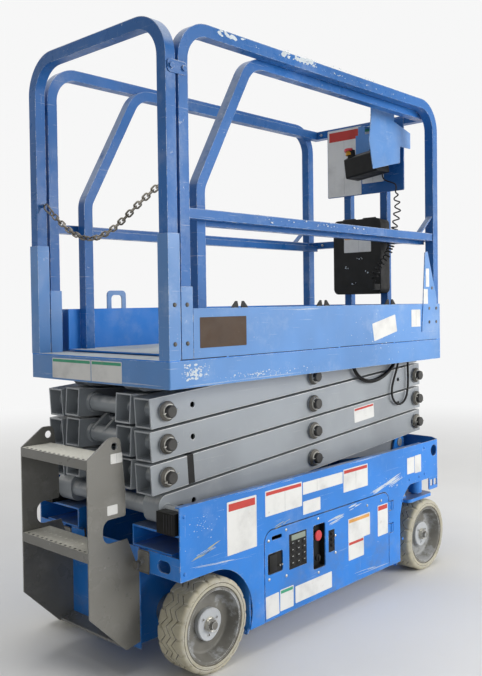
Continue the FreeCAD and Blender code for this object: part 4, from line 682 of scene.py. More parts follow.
def build_wheel_nuts():
    """Washer, castle nut and split pin on each wheel, and the hub plate with its bolt holes, each hole a dark disc
    of painted shade.
    """
    for wheel, side in WHEELS:
        low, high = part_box(wheel + "_rim")
        out = Vector((0, side, 0))
        face = (low + high) / 2
        face.y = side * HUB_FACE_Y
        bm = bmesh.new()
        turn(bm, face, out, [(0, 0.0245), (0.003, 0.0245), (0.003, 0.014)])
        hexagon(bm, face + out * 0.003, out, 0.0395, 0.014, 0.005)
        pin = face + out * 0.0145
        sweep(bm, [pin + Vector((0, 0, 0.024)), pin + Vector((0, 0, -0.022))], 0.0016, 6)
        tail = ((0, 0, -0.020), (0.006, side * 0.004, -0.024), (0.016, side * 0.004, -0.020))
        sweep(bm, [pin + Vector(step) for step in tail], 0.0014, 6)
        dress(bm, wheel + "_axle_nut", "wheel_" + wheel, "zinc")
        bm = bmesh.new()
        profile = [(-0.0138, 0.0525), (0, 0.0525), (0.0026, 0.0500), (0.0010, 0.0430), (0.0014, 0.020)]
        rings = turn(bm, face, out, profile, 48)
        for vert in (vert for ring in rings[:-1] for vert in ring):
            ray = vert.co - face
            lobes = 1 + 0.035 * math.cos(3 * math.atan2(ray.z, ray.x) - 1.2)
            vert.co.x, vert.co.z = face.x + ray.x * lobes, face.z + ray.z * lobes
        # three bolt holes: a ring each, with a dark disc in it as painted shade for the hole
        for k in range(3):
            angle = math.radians(143 + 120 * k)
            spot = face + Vector((0.035 * math.cos(angle), side * 0.0008, 0.035 * math.sin(angle)))
            turn(bm, spot, out, [(0, 0.0062), (0.0022, 0.0058), (0.0024, 0.0036), (0.0004, 0.0034)], 20)
            turn(bm, spot, out, [(0.0004, 0.0034), (0.0009, 0.0032)], 16, 1)
        dress(bm, wheel + "_hub_plate", "wheel_" + wheel, ["hub", "groove"])


# Pins and fasteners

def arm_pin_places():
    """Each inner arm with the places of the washered pins that ride on it."""
    for level in range(1, 5):
        low = LOW_PIN_Z + (level - 1) * PIN_RISE
        places = [((FRONT_PIN_X + REAR_PIN_X) / 2, low + PIN_RISE / 2)]
        if level > 1:
            places.insert(0, (FRONT_PIN_X, low))
        if level < 4:
            places.append((REAR_PIN_X, low + PIN_RISE))
        yield f"arm{level}_inner", places


def build_arm_pins():
    """Cone washer, collar, pin end and split pin at both ends of every arm pin."""
    rng = random.Random(11)
    for body, places in arm_pin_places():
        bm = bmesh.new()
        for x, z, side in ((x, z, side) for x, z in places for side in (-1, 1)):
            out = Vector((0, side, 0))
            base = Vector((x, side * (PIN_END_Y - 0.0205), z))
            turn(bm, base, out, [(0, 0.0325), (0.0030, 0.0325), (0.0080, 0.0275), (0.0095, 0.0200)], 36)
            turn(bm, base, out, [(0.0070, 0.0245), (0.0112, 0.0243), (0.0125, 0.0232), (0.0125, 0.0212)], 32, 2)
            turn(bm, base, out, [(0.0120, 0.0214), (0.0132, 0.0208), (0.0240, 0.0202), (0.0262, 0.0176)], 32, 1)
            tilt = rng.uniform(-0.5, 0.5)
            ray = Vector((math.cos(tilt), 0, math.sin(tilt)))
            ends = base + out * 0.0175
            sweep(bm, [ends - ray * 0.0265, ends + ray * 0.025], 0.0019, 6, finish=2)
            tail = ((0.022, 0), (0.0265, 0.004), (0.030, 0.0045))
            sweep(bm, [ends + ray * a + out * b for a, b in tail], 0.0016, 6, finish=2)
            sweep(bm, circle(ends - ray * 0.0275, ray, out, 0.0036, 10), 0.0014, 6, closed=True, finish=2)
        dress(bm, body + "_pin_ends", body, ["washer", "pin", "zinc"])


TRAY_SCREWS = ((-0.298, 0.366), (-0.204, 0.385), (-0.02, 0.386), (0.086, 0.300), (0.086, 0.235), (-0.205, 0.222),
               (-0.297, 0.232), (-0.02, 0.186), (0.30, 0.372), (0.40, 0.372))
CHASSIS_RIVETS = ((-0.69, 0.352), (-0.69, 0.53), (0.62, 0.42), (0.70, 0.42), (0.56, 0.18), (0.56, 0.34),
                  (0.745, 0.54), (0.745, 0.425))
TOE_RIVETS = tuple((x, DECK_Z + rise) for x in (-0.71, -0.658) for rise in (0.05, 0.17))
GUSSET_BOLTS = ((0.80, 1.09), (0.86, 1.09), (0.80, 1.15), (0.86, 1.15), (0.825, 1.24))
FRONT_BOLTS = tuple((y, z) for y in (-0.255, 0.255, -0.103, 0.103) for z in (1.467, 2.015))


def build_fasteners():
    """Bolts and rivets of the panels, wrap, sockets, board and rails."""
    bm = bmesh.new()
    for x, z in TRAY_SCREWS:
        dome(bm, (x, -SIDE_Y, z), (0, -1, 0), 0.0055, 0.003)
    dress(bm, "tray_panel_screws", "tray_right", "zinc")
    bm = bmesh.new()
    for x, z in CHASSIS_RIVETS:
        for side in (-1, 1):
            dome(bm, (x, side * SIDE_Y, z), (0, side, 0), 0.006, 0.0035)
    dress(bm, "chassis_rivets", "chassis", "body")
    bm = bmesh.new()
    for x, z in TOE_RIVETS:
        for side in (-1, 1):
            dome(bm, (x, side * TOE_FACE_Y, z), (0, side, 0), 0.007, 0.0045)
    for x, z in GUSSET_BOLTS:
        hexagon(bm, (x, -GUSSET_FACE_Y, z), (0, -1, 0), 0.013, 0.0015)
    dress(bm, "platform_bolts", "platform", "washer")
    bm = bmesh.new()
    for y, z in FRONT_BOLTS:
        hexagon(bm, (FRONT_RAIL_X, y, z), (-1, 0, 0), 0.013, 0.006)
    dress(bm, "front_rail_bolts", "extension", "zinc")


# Chain and cords

# the chain's points are y and rise above the deck, the hoses' and the cable's x and z, the hook's along and across
CHAIN_ROUTE = [(-0.3137, 0.540), (-0.228, 0.500), (-0.132, 0.444), (-0.042, 0.405), (0.048, 0.393), (0.138, 0.418),
               (0.226, 0.470), (0.3128, 0.533)]
LEAD_ROUTE = [(0.800, -0.141, 1.7681), (0.800, -0.142, 1.750), (0.811, -0.157, 1.736), (0.827, -0.176, 1.730),
              (0.836, -0.192, 1.720), (0.836, -0.192, 1.700)]
COIL_ROUTE = [(0.836, -0.192, 1.700), (0.836, -0.192, 1.668), (0.838, -0.200, 1.610), (0.836, -0.188, 1.552),
              (0.833, -0.179, 1.498), (0.824, -0.171, 1.446), (0.804, -0.166, 1.398), (0.766, -0.152, 1.352),
              (0.757, -0.119, 1.304), (0.757, -0.119, 1.264)]
HOSE_ROUTE = [(0.341, 0.940), (0.341, 0.912), (0.372, 0.878), (0.425, 0.854), (0.490, 0.848), (0.555, 0.860),
              (0.614, 0.884), (0.656, 0.914), (0.656, 0.940)]
CABLE_ROUTE = [(0.687, 0.940), (0.687, 0.906), (0.658, 0.856), (0.633, 0.806), (0.636, 0.762), (0.670, 0.732),
               (0.716, 0.728), (0.754, 0.754), (0.767, 0.800), (0.769, 0.850), (0.766, 0.900), (0.766, 0.940)]
HOOK_SHAPE = [(-0.066, 0.0), (-0.063, 0.006), (-0.056, 0.0075), (-0.044, 0.008), (-0.014, 0.011), (-0.006, 0.010),
              (-0.001, 0.004), (-0.001, -0.004), (-0.006, -0.010), (-0.014, -0.011), (-0.044, -0.008),
              (-0.056, -0.0075), (-0.063, -0.006)]
HOOK_BAR = [(-0.046, -0.009), (-0.044, 0.009)]


def build_chain(sizes):
    """Steel links, each turned a quarter from the last, with a closed hook at the far end."""
    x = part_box("entry_chain")[0].x + 0.005
    route = read_route([(x, y, DECK_Z + rise) for y, rise in CHAIN_ROUTE])
    wire = sizes.link_wire / 2
    straight = sizes.link_length / 2 - sizes.link_width / 2
    bend = sizes.link_width / 2 - wire
    bm = bmesh.new()
    spacing = sizes.link_length - 2 * sizes.link_wire
    hook_length = 0.062
    hook_start = measure(route) - hook_length
    for number, (spot, along) in enumerate(evenly(route, spacing)):
        if (number + 0.4) * spacing > hook_start:
            break
        side = Vector((1, 0, 0))
        upright = along.cross(side)
        wide = (side + upright).normalized() if number % 2 else (side - upright).normalized()
        loop = []
        for k in range(20):
            angle = 2 * math.pi * k / 20
            reach = straight * (1 if math.cos(angle) > 0 else -1)
            loop.append(spot + along * (reach + bend * math.cos(angle)) + wide * bend * math.sin(angle))
        sweep(bm, loop, wire, 8, closed=True)
    end = route[-1]
    along = (end - route[-6]).normalized()
    across = along.cross(Vector((1, 0, 0)))
    sweep(bm, [end + along * a + across * b for a, b in HOOK_SHAPE], wire * 1.1, 10, closed=True)
    sweep(bm, [end + along * a + across * b for a, b in HOOK_BAR], wire * 0.9, 8)
    dress(bm, "entry_chain_links", "platform", "chain", 60, ["entry_chain"])


def lay_cord(name, body, points, diameter, resolution, replaced, fineness=12):
    """One cord that rides on a body. Its length is read at the given fineness."""
    piece = smooth_curve(name, points, diameter, resolution)
    piece.data.materials.append(FINISH["cord"])
    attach(piece, body)
    if replaced:
        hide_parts(*replaced)
    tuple(points[0])
    measure(read_route(points, fineness))


def build_curly_cord(sizes):
    """Control cord: a short lead, then coils that open out where it hangs and close up where it lies."""
    centre = read_route(COIL_ROUTE, 16)
    total = measure(centre)
    radius = sizes.curly_coil / 2 - sizes.curly_wire / 2
    step = total / 900
    open_pitch, close_pitch, end_pitch = 0.036, 0.013, 0.022
    points = LEAD_ROUTE[:-1]
    angle = next_angle = travelled = 0.0
    rng = random.Random(5)
    for spot, along in evenly(centre, step):
        share = travelled / total
        pitch = open_pitch if share < 0.38 else close_pitch if share < 0.62 else end_pitch
        angle += 2 * math.pi * step / pitch
        travelled += step
        if angle < next_angle:
            continue
        next_angle += math.pi / 6
        grip = min(1.0, share * 9, (1 - share) * 12)
        loose = radius * grip * (1 + 0.12 * math.sin(angle * 0.37))
        side = along.orthogonal().normalized()
        other = along.cross(side)
        points.append(spot + (side * math.cos(angle) + other * math.sin(angle)) * loose * rng.uniform(0.97, 1.0))
    points.append(Vector(COIL_ROUTE[-1]))
    replaced = ["control_lead", "coiled_cord"]
    lay_cord("control_curly_cord", "extension", points, sizes.curly_wire, 3, replaced, 4)


def build_platform_hoses():
    """Three hoses that hang under the deck as one bundle, and the looped cable beside them."""
    low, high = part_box("platform_hose")
    y = (low.y + high.y) / 2
    across, up = 0.0046, 0.0026
    hose, cable = 0.0082, 0.0098
    for number, (dy, dz) in enumerate(((-across, up), (across, up), (0, -2 * up)), 1):
        points = [(x, y + dy, z + dz * min(1, (HOSE_ROUTE[0][1] - z) * 40)) for x, z in HOSE_ROUTE]
        replaced = ["platform_hose"] if number == 1 else []
        lay_cord(f"platform_hose_{number}", "platform", points, hose, 8, replaced)
    low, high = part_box("platform_cable")
    points = [(x, (low.y + high.y) / 2, z) for x, z in CABLE_ROUTE]
    lay_cord("platform_looped_cable", "platform", points, cable, 8, ["platform_cable"])


# Labels

def label(name, body, face, low, high, header=None, split=None, lean=0.0, sheet="paper"):
    """A blank label between two corners on a face, with a coloured head or a dividing line where it has one."""
    thick = bpy.context.scene.lift_sizes.label_thick
    width, height = high[0] - low[0], high[1] - low[1]
    middle = Vector(((low[0] + high[0]) / 2, (low[1] + high[1]) / 2, 0))
    place = face_place(face) @ Matrix.Translation(middle) @ Matrix.Rotation(lean, 4, "Z")
    above = place @ Matrix.Translation((0, 0, thick))
    left, top = -width / 2, height / 2
    inset, line_width = min(width, height) * 0.05, 0.0012
    finishes = [sheet, header, "label_grey"] if header else [sheet, "label_grey"]
    bm = bmesh.new()
    outline_plate(bm, rounded_rectangle((left, -top), (-left, top), 0.003), thick, place)
    if header:
        low, high = (left + inset, top - inset - height * 0.14), (-left - inset, top - inset)
        outline_plate(bm, rounded_rectangle(low, high, 0.001, 1), thick * 0.4, above, 1)
    if split:
        u = left + split * width
        line = [(u, inset - top), (u + line_width, inset - top), (u + line_width, top - inset), (u, top - inset)]
        outline_plate(bm, line, thick * 0.3, above, len(finishes) - 1)
    dress(bm, name, body, finishes, smooth=20)


# each row: piece, body, face, low and high corner, then colour of the head, place of the line, lean and sheet
LABELS = (
    ("daily_card", "chassis", RIGHT_SIDE, (-0.501, 0.363), (-0.358, 0.538), "label_red"),
    ("side_card_a", "chassis", RIGHT_SIDE, (-0.313, 0.452), (-0.113, 0.540), "label_red", 0.52),
    ("side_card_b", "chassis", RIGHT_SIDE, (-0.107, 0.490), (0.136, 0.534), None, 0.34),
    ("side_card_c", "chassis", RIGHT_SIDE, (0.141, 0.452), (0.305, 0.540), "label_red", 0.5),
    ("side_card_c_left", "chassis", LEFT_SIDE, (-0.02, 0.452), (0.144, 0.540), "label_red", 0.5),
    ("side_card_d", "chassis", RIGHT_SIDE, (-0.107, 0.417), (-0.005, 0.465)),
    ("side_card_g", "chassis", RIGHT_SIDE, (0.602, 0.445), (0.660, 0.514)),
    ("side_card_h", "chassis", RIGHT_SIDE, (0.664, 0.440), (0.716, 0.516)),
    ("tray_card_e", "tray_right", RIGHT_SIDE, (0.170, 0.254), (0.318, 0.343), "label_orange"),
    ("tray_card_e_low", "tray_right", RIGHT_SIDE, (0.170, 0.181), (0.274, 0.254), "label_red"),
    ("tray_card_f", "tray_right", RIGHT_SIDE, (0.374, 0.230), (0.448, 0.355), "label_red"),
    ("tray_card_h", "tray_right", RIGHT_SIDE, (-0.315, 0.100), (-0.246, 0.176), None, None, 0.02),
    ("tray_card_i", "tray_right", RIGHT_SIDE, (-0.240, 0.105), (-0.167, 0.180), "label_green", None, -0.01),
    ("tray_card_j", "tray_right", RIGHT_SIDE, (-0.156, 0.110), (0.061, 0.170)),
    ("entry_card_left", "platform", SKIRT, (0.020, 0.930), (0.244, 1.000), "label_green"),
    ("entry_card_right", "platform", SKIRT, (-0.146, 0.930), (0.016, 1.000), "label_green"),
    ("toe_paper", "platform", TOE, (0.362, 1.040), (0.535, 1.112), None, None, 0.20),
    ("toe_card", "platform", TOE, (0.656, 1.072), (0.730, 1.146), None, 0.5),
    ("name_plate", "platform", TOE, (-0.605, 1.045), (-0.390, 1.142), None, None, 0.0, "label_dark"),
    ("gusset_card_low", "platform", GUSSET, (0.752, 1.170), (0.788, 1.235)),
    ("gusset_card_high", "platform", GUSSET, (0.772, 1.245), (0.800, 1.325)),
    ("arm_card", "arm2_outer", ARM, (0.368, 0.688), (0.512, 0.748), "label_red", None, ARM_LEAN),
    ("board_card_wide", "extension", BOARD, (0.016, 1.698), (0.213, 2.024), "label_red", 0.5),
    ("board_card_mid", "extension", BOARD, (-0.050, 1.860), (0.012, 2.016), "label_green"),
    ("board_card_low", "extension", BOARD, (-0.110, 1.746), (0.011, 1.806), None, 0.5),
    ("manual_card", "extension", CASE, (-0.084, 1.416), (0.068, 1.492), "label_orange", 0.45),
    ("ladder_card_high", "chassis", LADDER, (-0.816, 0.688), (-0.770, 0.719), None, 0.5),
    ("ladder_card_low", "chassis", LADDER, (-0.832, 0.529), (-0.792, 0.559)),
    ("latch_card", "platform", LATCH, (-0.425, 1.140), (-0.365, 1.165)),
)


def build_labels():
    """Blank labels where the machine carries its signs."""
    for row in LABELS:
        label(*row)


# Marks of use, and painted highlights along the arm edges

def scrape(bm, face, start, stop, width, count, rng, finish=0):
    """Slender bare marks side by side on a face, from start to stop."""
    run = Vector((stop[0] - start[0], stop[1] - start[1]))
    along = run.normalized()
    across = Vector((-along.y, along.x))
    steps = 9
    for k in range(count):
        middle = Vector(start) + run * rng.uniform(0.15, 0.85) + across * rng.uniform(-0.5, 0.5) * width
        half = run.length * rng.uniform(0.08, 0.34)
        thick = width * rng.uniform(0.03, 0.12)
        upper, lower = [], []
        for j in range(steps + 1):
            share = j / steps
            body = math.sin(math.pi * share) ** 0.7
            at = middle + along * (share * 2 - 1) * half
            upper.append(at + across * body * thick * rng.uniform(0.75, 1.1))
            lower.append(at - across * body * thick * rng.uniform(0.75, 1.1))
        outline_plate(bm, lower[:-1] + upper[:0:-1], 0.00025 + 0.00002 * k, face_place(face), finish)


def flecks(bm, face, low, high, largest, count, rng, finish=0):
    """Small uneven chips strewn over a stretch of a face, closer together towards its middle."""
    width, height = high[0] - low[0], high[1] - low[1]
    for k in range(count):
        u = low[0] + width * (rng.random() + rng.random()) / 2
        v = low[1] + height * (rng.random() + rng.random()) / 2
        size = largest * (0.18 + 0.82 * rng.random() ** 3)
        stretch, turned = rng.uniform(1.0, 2.4), rng.uniform(-0.5, 0.5)
        corners = []
        for j in range(8):
            reach = size * rng.uniform(0.55, 1.0)
            a, b = reach * stretch * math.cos(math.pi * j / 4), reach * math.sin(math.pi * j / 4)
            corners.append((min(max(u + a * math.cos(turned) - b * math.sin(turned), low[0]), high[0]),
                            min(max(v + a * math.sin(turned) + b * math.cos(turned), low[1]), high[1])))
        outline_plate(bm, corners, 0.00022 + 0.000004 * (k % 40), face_place(face), finish)


# each piece with its body, finishes and rows: kind, face, two corners, width or largest chip, count, finish
MARKS = (
    ("side_scrapes", "chassis", ["chip", "gouge"], (
        (scrape, RIGHT_SIDE, (-0.672, 0.385), (-0.560, 0.405), 0.015, 3, 1),
        (scrape, RIGHT_SIDE, (-0.640, 0.388), (-0.520, 0.418), 0.017, 3, 1),
        (scrape, RIGHT_SIDE, (-0.650, 0.392), (-0.590, 0.402), 0.011, 3, 0),
        (scrape, RIGHT_SIDE, (-0.610, 0.398), (-0.540, 0.412), 0.011, 3, 0),
        (scrape, RIGHT_SIDE, (-0.700, 0.368), (-0.420, 0.338), 0.010, 4, 0),
        (scrape, RIGHT_SIDE, (0.335, 0.405), (0.550, 0.450), 0.026, 14, 0),
        (scrape, RIGHT_SIDE, (-0.265, 0.404), (-0.185, 0.419), 0.012, 6, 1),
        (scrape, RIGHT_SIDE, (0.10, 0.556), (0.40, 0.558), 0.004, 6, 0),
        (scrape, RIGHT_SIDE, (-0.45, 0.557), (-0.10, 0.558), 0.004, 6, 0),
        (flecks, RIGHT_SIDE, (-0.700, 0.420), (-0.510, 0.560), 0.0022, 60, 0),
        (flecks, RIGHT_SIDE, (0.320, 0.395), (0.590, 0.470), 0.0040, 60, 0))),
    ("tray_scrapes", "tray_right", ["chip"], (
        (scrape, RIGHT_SIDE, (0.168, 0.382), (0.250, 0.390), 0.022, 9, 0),
        (scrape, RIGHT_SIDE, (0.030, 0.352), (0.156, 0.366), 0.020, 9, 0),
        (scrape, RIGHT_SIDE, (0.200, 0.118), (0.440, 0.108), 0.012, 6, 0))),
    ("platform_scrapes", "platform", ["chip"], (
        (scrape, TOE, (-0.36, 1.158), (0.10, 1.162), 0.006, 5, 0),
        (scrape, TOE, (-0.66, 0.930), (-0.10, 0.932), 0.004, 6, 0),
        (flecks, TOE, (-0.700, 0.945), (-0.560, 1.000), 0.0056, 120, 0),
        (flecks, TOE, (-0.600, 0.930), (0.000, 0.960), 0.0036, 90, 0),
        (flecks, TOE, (0.100, 0.930), (0.800, 1.150), 0.0026, 60, 0),
        (scrape, SKIRT, (-0.33, 0.932), (0.0, 0.934), 0.006, 6, 0))),
    ("rail_scrapes", "platform", ["chip"], (
        (flecks, RAIL, (-0.505, 2.043), (-0.365, 2.066), 0.014, 16, 0),
        (flecks, RAIL, (-0.190, 2.045), (0.090, 2.068), 0.013, 34, 0),
        (flecks, RAIL, (-0.300, 2.066), (0.500, 2.075), 0.004, 40, 0),
        (flecks, RAIL, (-0.510, 1.458), (0.500, 1.484), 0.004, 36, 0),
        (flecks, RAIL, (-0.580, 2.040), (0.840, 2.050), 0.003, 50, 0),
        (scrape, ARCH, (-0.352, 1.62), (-0.346, 1.47), 0.020, 8, 0))),
)


def build_marks():
    """Gouges, scrapes and chips where the machine shows them."""
    rng = random.Random(27)
    for name, body, finishes, rows in MARKS:
        bm = bmesh.new()
        for make, face, start, stop, size, count, finish in rows:
            make(bm, face, start, stop, size, count, rng, finish)
        dress(bm, name, body, finishes, 20)


def build_arm_band():
    """Dark band round one outer arm, as three thin plates."""
    bm = bmesh.new()
    x = -0.558
    middle = Vector((x, 0, LOW_PIN_Z + PIN_RISE + (x - REAR_PIN_X) * math.tan(ARM_LEAN)))
    turned = Matrix.Rotation(-ARM_LEAN, 4, "Y")
    for low, high in (((-0.014, -0.2757, -0.0475), (0.014, -0.2749, 0.0475)),
                      ((-0.014, -0.2750, 0.0472), (0.014, -0.2000, 0.0480)),
                      ((-0.014, -0.2750, -0.0480), (0.014, -0.2000, -0.0472))):
        spot = middle + turned @ ((Vector(low) + Vector(high)) / 2)
        half = (Vector(high) - Vector(low)) / 2
        slab(bm, spot - half, spot + half, 0.0002, 1, turned=turned)
    dress(bm, "arm_band", "arm2_outer", "cord", smooth=30)


def build_arm_edge_highlights():
    """Pale strips along both edges of the outer arms' faces, broken here and there: a painted highlight where the
    edges catch the light, wider on the upper edge.
    """
    rng = random.Random(61)
    along = Vector((math.cos(ARM_LEAN), 0, math.sin(ARM_LEAN)))
    upward = Vector((-math.sin(ARM_LEAN), 0, math.cos(ARM_LEAN)))
    count = 8
    for level in range(1, 5):
        name = f"arm{level}_outer"
        low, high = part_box(name)
        middle = Vector(((FRONT_PIN_X + REAR_PIN_X) / 2, 0, LOW_PIN_Z + (level - 0.5) * PIN_RISE))
        reach = (high.x - low.x) / 2 / math.cos(ARM_LEAN) - 0.030
        bm = bmesh.new()
        for side in (-1, 1):
            out = Vector((0, side, 0))
            turned = Matrix((along, upward, out)).transposed().to_4x4()
            place = Matrix.Translation(middle + out * ARM_FACE_Y) @ turned
            for edge, tallest in ((0.0474, 0.0034), (-0.0474, -0.0016)):
                start = -reach
                while start < reach:
                    stop = min(start + rng.uniform(0.05, 0.34), reach)
                    inner = []
                    for j in range(count + 1):
                        swell = math.sin(math.pi * (j + 0.3) / (count + 0.6)) ** 0.4
                        inner.append((start + (stop - start) * j / count,
                                      edge - tallest * rng.uniform(0.35, 1.0) * swell))
                    outline_plate(bm, [(stop, edge), (start, edge)] + inner, 0.0002, place)
                    start = stop + rng.uniform(0.0, 0.020)
        # the bare finish here is the pale paint of this painted highlight
        dress(bm, name + "_edge_highlight_strips", name, "bare", 20)


# Trims

def build_step_grit():
    """Raised dimples, skins and front slots of the two steps; each slot is a dark strip of painted shade."""
    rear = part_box("ladder")[0].x
    rng = random.Random(3)
    bm = bmesh.new()
    for height, depth in LADDER_STEPS:
        for row in range(3):
            for k in range(11):
                x = rear + 0.022 + row * (depth - 0.044) / 2 + rng.uniform(-0.0015, 0.0015)
                y = -0.150 + k * 0.030 + (0.015 if row % 2 else 0) - 0.007
                profile = [(-0.0004, 0.0058), (0.0012, 0.0046), (0.0012, 0.0034), (0.0002, 0.0026)]
                turn(bm, (x, y, height), (0, 0, 1), profile, 14)
    dress(bm, "step_dimples", "chassis", "step")
    bm = bmesh.new()
    for height, depth in LADDER_STEPS:
        points = rounded_rectangle((rear + 0.0015, -0.178), (rear + depth - 0.0015, 0.178), 0.004)
        outline_plate(bm, points, 0.0004, Matrix.Translation((0, 0, height)))
        # front slots: dark strips, painted shade where the slots are
        for k in range(13):
            y = -0.156 + k * 0.026
            slab(bm, (rear + 0.004, y - 0.0045, height + 0.0003), (rear + 0.011, y + 0.0045, height + 0.0009),
                 0.0003, 1, 1)
    dress(bm, "step_skins", "chassis", ["step", "cord"])


def build_control_panel():
    """Buttons, sockets and switches of the ground controls."""
    x, y = PANEL_REAR_X, -SIDE_Y
    face, out = y + 0.005, (0, -1, 0)
    bm = bmesh.new()
    for row in range(4):
        for column in range(3):
            u = x + 0.146 + column * 0.033
            v = 0.256 + row * 0.0235
            slab(bm, (u - 0.011, y - 0.0012, v - 0.008), (u + 0.011, y + 0.001, v + 0.008), 0.002, 2, 1)
            slab(bm, (u - 0.004, y - 0.0014, v + 0.001), (u + 0.004, y, v + 0.005), 0.0005, 1, 0)
    slab(bm, (x + 0.140, y - 0.0008, 0.338), (x + 0.219, y + 0.001, 0.358), 0.001, 1, 2)
    dress(bm, "ground_keys", "tray_right", ["grey", "black", "screen"])
    bm = bmesh.new()
    turn(bm, (x + 0.293, face, 0.240), out, [(-0.001, 0.013), (0.006, 0.013), (0.008, 0.010), (0.008, 0.004)], 28)
    slab(bm, (x + 0.290, face - 0.012, 0.229), (x + 0.296, face - 0.007, 0.251), 0.001)
    slab(bm, (x + 0.020, y - 0.0005, 0.255), (x + 0.060, y + 0.004, 0.312), 0.003)
    for k in range(3):
        v = 0.262 + k * 0.022
        slab(bm, (x + 0.372, y - 0.0035, v), (x + 0.389, y - 0.001, v + 0.012), 0.0015)
    dress(bm, "ground_switches", "tray_right", "black")
    bm = bmesh.new()
    turn(bm, (x + 0.293, y - 0.0004, 0.324), out, [(-0.014, 0.0105), (-0.002, 0.0105), (-0.002, 0.019),
                                                   (0.002, 0.0195), (0.0042, 0.017), (0.0048, 0.008)])
    dress(bm, "ground_stop_button", "tray_right", "red")
    bm = bmesh.new()
    for k in range(2):
        turn(bm, (x + 0.074 + k * 0.012, y + 0.001, 0.27), out, [(0, 0.003), (0.004, 0.003), (0.004, 0.001)], 14)
    dress(bm, "ground_pins", "tray_right", "zinc")


def build_platform_control():
    """Stop button, joystick boot, the holes in their guard as dark discs and a dark slot of painted shade, and the
    chips on the manual box.
    """
    tilt = Matrix.Rotation(math.radians(-7), 4, "X")
    centre = Vector((0.756, -0.084, 1.820))

    def at(u, v, w):
        return centre + tilt @ Vector((u, v, w))

    up = tilt @ Vector((0, 0, 1))
    bm = bmesh.new()
    turn(bm, at(-0.034, 0.066, 0.050), up, [(0, 0.0165), (0.010, 0.0165), (0.014, 0.0135), (0.018, 0.0135)], 32, 1)
    turn(bm, at(-0.034, 0.066, 0.050), up, [(0.017, 0.0120), (0.018, 0.0205), (0.024, 0.0215), (0.030, 0.0195),
                                            (0.032, 0.010)])
    dress(bm, "platform_stop_button", "extension", ["red", "yellow"])
    bm = bmesh.new()
    folds = [(0.0, 0.024), (0.004, 0.0245), (0.007, 0.019), (0.011, 0.0205), (0.014, 0.0155), (0.018, 0.0168),
             (0.022, 0.012), (0.028, 0.0115)]
    turn(bm, at(0.020, -0.040, 0.0565), up, folds)
    dress(bm, "joystick_boot", "extension", "cord")
    bm = bmesh.new()
    # holes in the guard: dark discs and a dark slot, painted shade
    for x, z in ((0.598, 2.022), (0.745, 2.022)):
        turn(bm, (x, -0.2266, z), (0, -1, 0), [(0, 0.0062), (0.0008, 0.0060), (0.0008, 0.0050)], 20)
    slab(bm, (0.576, -0.2272, 1.9885), (0.772, -0.2258, 1.9905), 0.0005, 1)
    dress(bm, "guard_hole_shades", "extension", "cord")
    bm = bmesh.new()
    rng = random.Random(41)
    for u, v in ((0.052, 1.339), (-0.064, 1.316), (0.095, 1.508), (0.010, 1.262), (-0.020, 1.380)):
        scrape(bm, CASE, (u, v), (u + rng.uniform(-0.006, 0.006), v + 0.012), 0.030, 4, rng)
    dress(bm, "case_chips", "extension", "chip")


def build_tray_equipment():
    """Battery caps, terminals and the leads between them."""
    low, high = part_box("battery_pack")
    pitch, terminal_y, up = 0.180, low.y + 0.035, Vector((0, 0, 1))
    caps, metal = bmesh.new(), bmesh.new()
    for k in range(4):
        left = low.x + pitch * k
        for j in range(3):
            turn(caps, (left + 0.045 + j * 0.042, (low.y + high.y) / 2, high.z), up,
                 [(-0.001, 0.017), (0.010, 0.017), (0.013, 0.014), (0.013, 0.006)], 20)
        slab(caps, (left + 0.006, low.y + 0.006, high.z - 0.020), (left + 0.168, high.y - 0.006, high.z + 0.002),
             0.004)
        for j in (0, 1):
            turn(metal, (left + 0.03 + j * 0.114, terminal_y, high.z), up,
                 [(-0.001, 0.010), (0.012, 0.009), (0.014, 0.007)], 16)
    for k in range(3):
        left = low.x + pitch * k
        start, stop = [Vector((left + reach, terminal_y, high.z + 0.010)) for reach in (0.144, 0.210)]
        lead = [start.lerp(stop, t / 10) + up * 0.020 * math.sin(math.pi * t / 10) for t in range(11)]
        sweep(caps, lead, 0.0050, 10, finish=1)
    dress(caps, "battery_caps", "tray_left", ["case", "cord"])
    dress(metal, "battery_terminals", "tray_left", "zinc")


def build_platform_trims():
    """Dark broken strips along the joint between skirt and toe panels, a painted shadow line, and the three pairs
    of lugs on the near toe panel.
    """
    bm = bmesh.new()
    rng = random.Random(13)
    # dark strips along the seam: a painted shadow line
    for side in (-1, 1):
        x, y = -0.690, side * TOE_FACE_Y
        while x < 0.86:
            run = rng.uniform(0.10, 0.50)
            top = DECK_Z + rng.uniform(0.0006, 0.0022)
            slab(bm, (x, y - 0.0005, DECK_Z - 0.0014), (min(x + run, 0.898), y + 0.0005, top), 0.0003, 1)
            x += run + rng.uniform(0.002, 0.014)
    dress(bm, "toe_joint_shadows", "platform", "cord")
    bm = bmesh.new()
    place = Matrix.Translation((0, 0, TOE_Z - 0.002)) @ face_place(("y", -LUG_FACE_Y, -1))
    for x in (-0.410, 0.047, 0.505):
        for turned in (-1, 1):
            corners = [(x + turned * u, v) for u, v in ((0.006, 0), (0.012, 0.024), (0.020, 0.024), (0.043, 0))]
            outline_plate(bm, corners[::turned], 0.004, place)
    dress(bm, "toe_lugs", "platform", "cord")


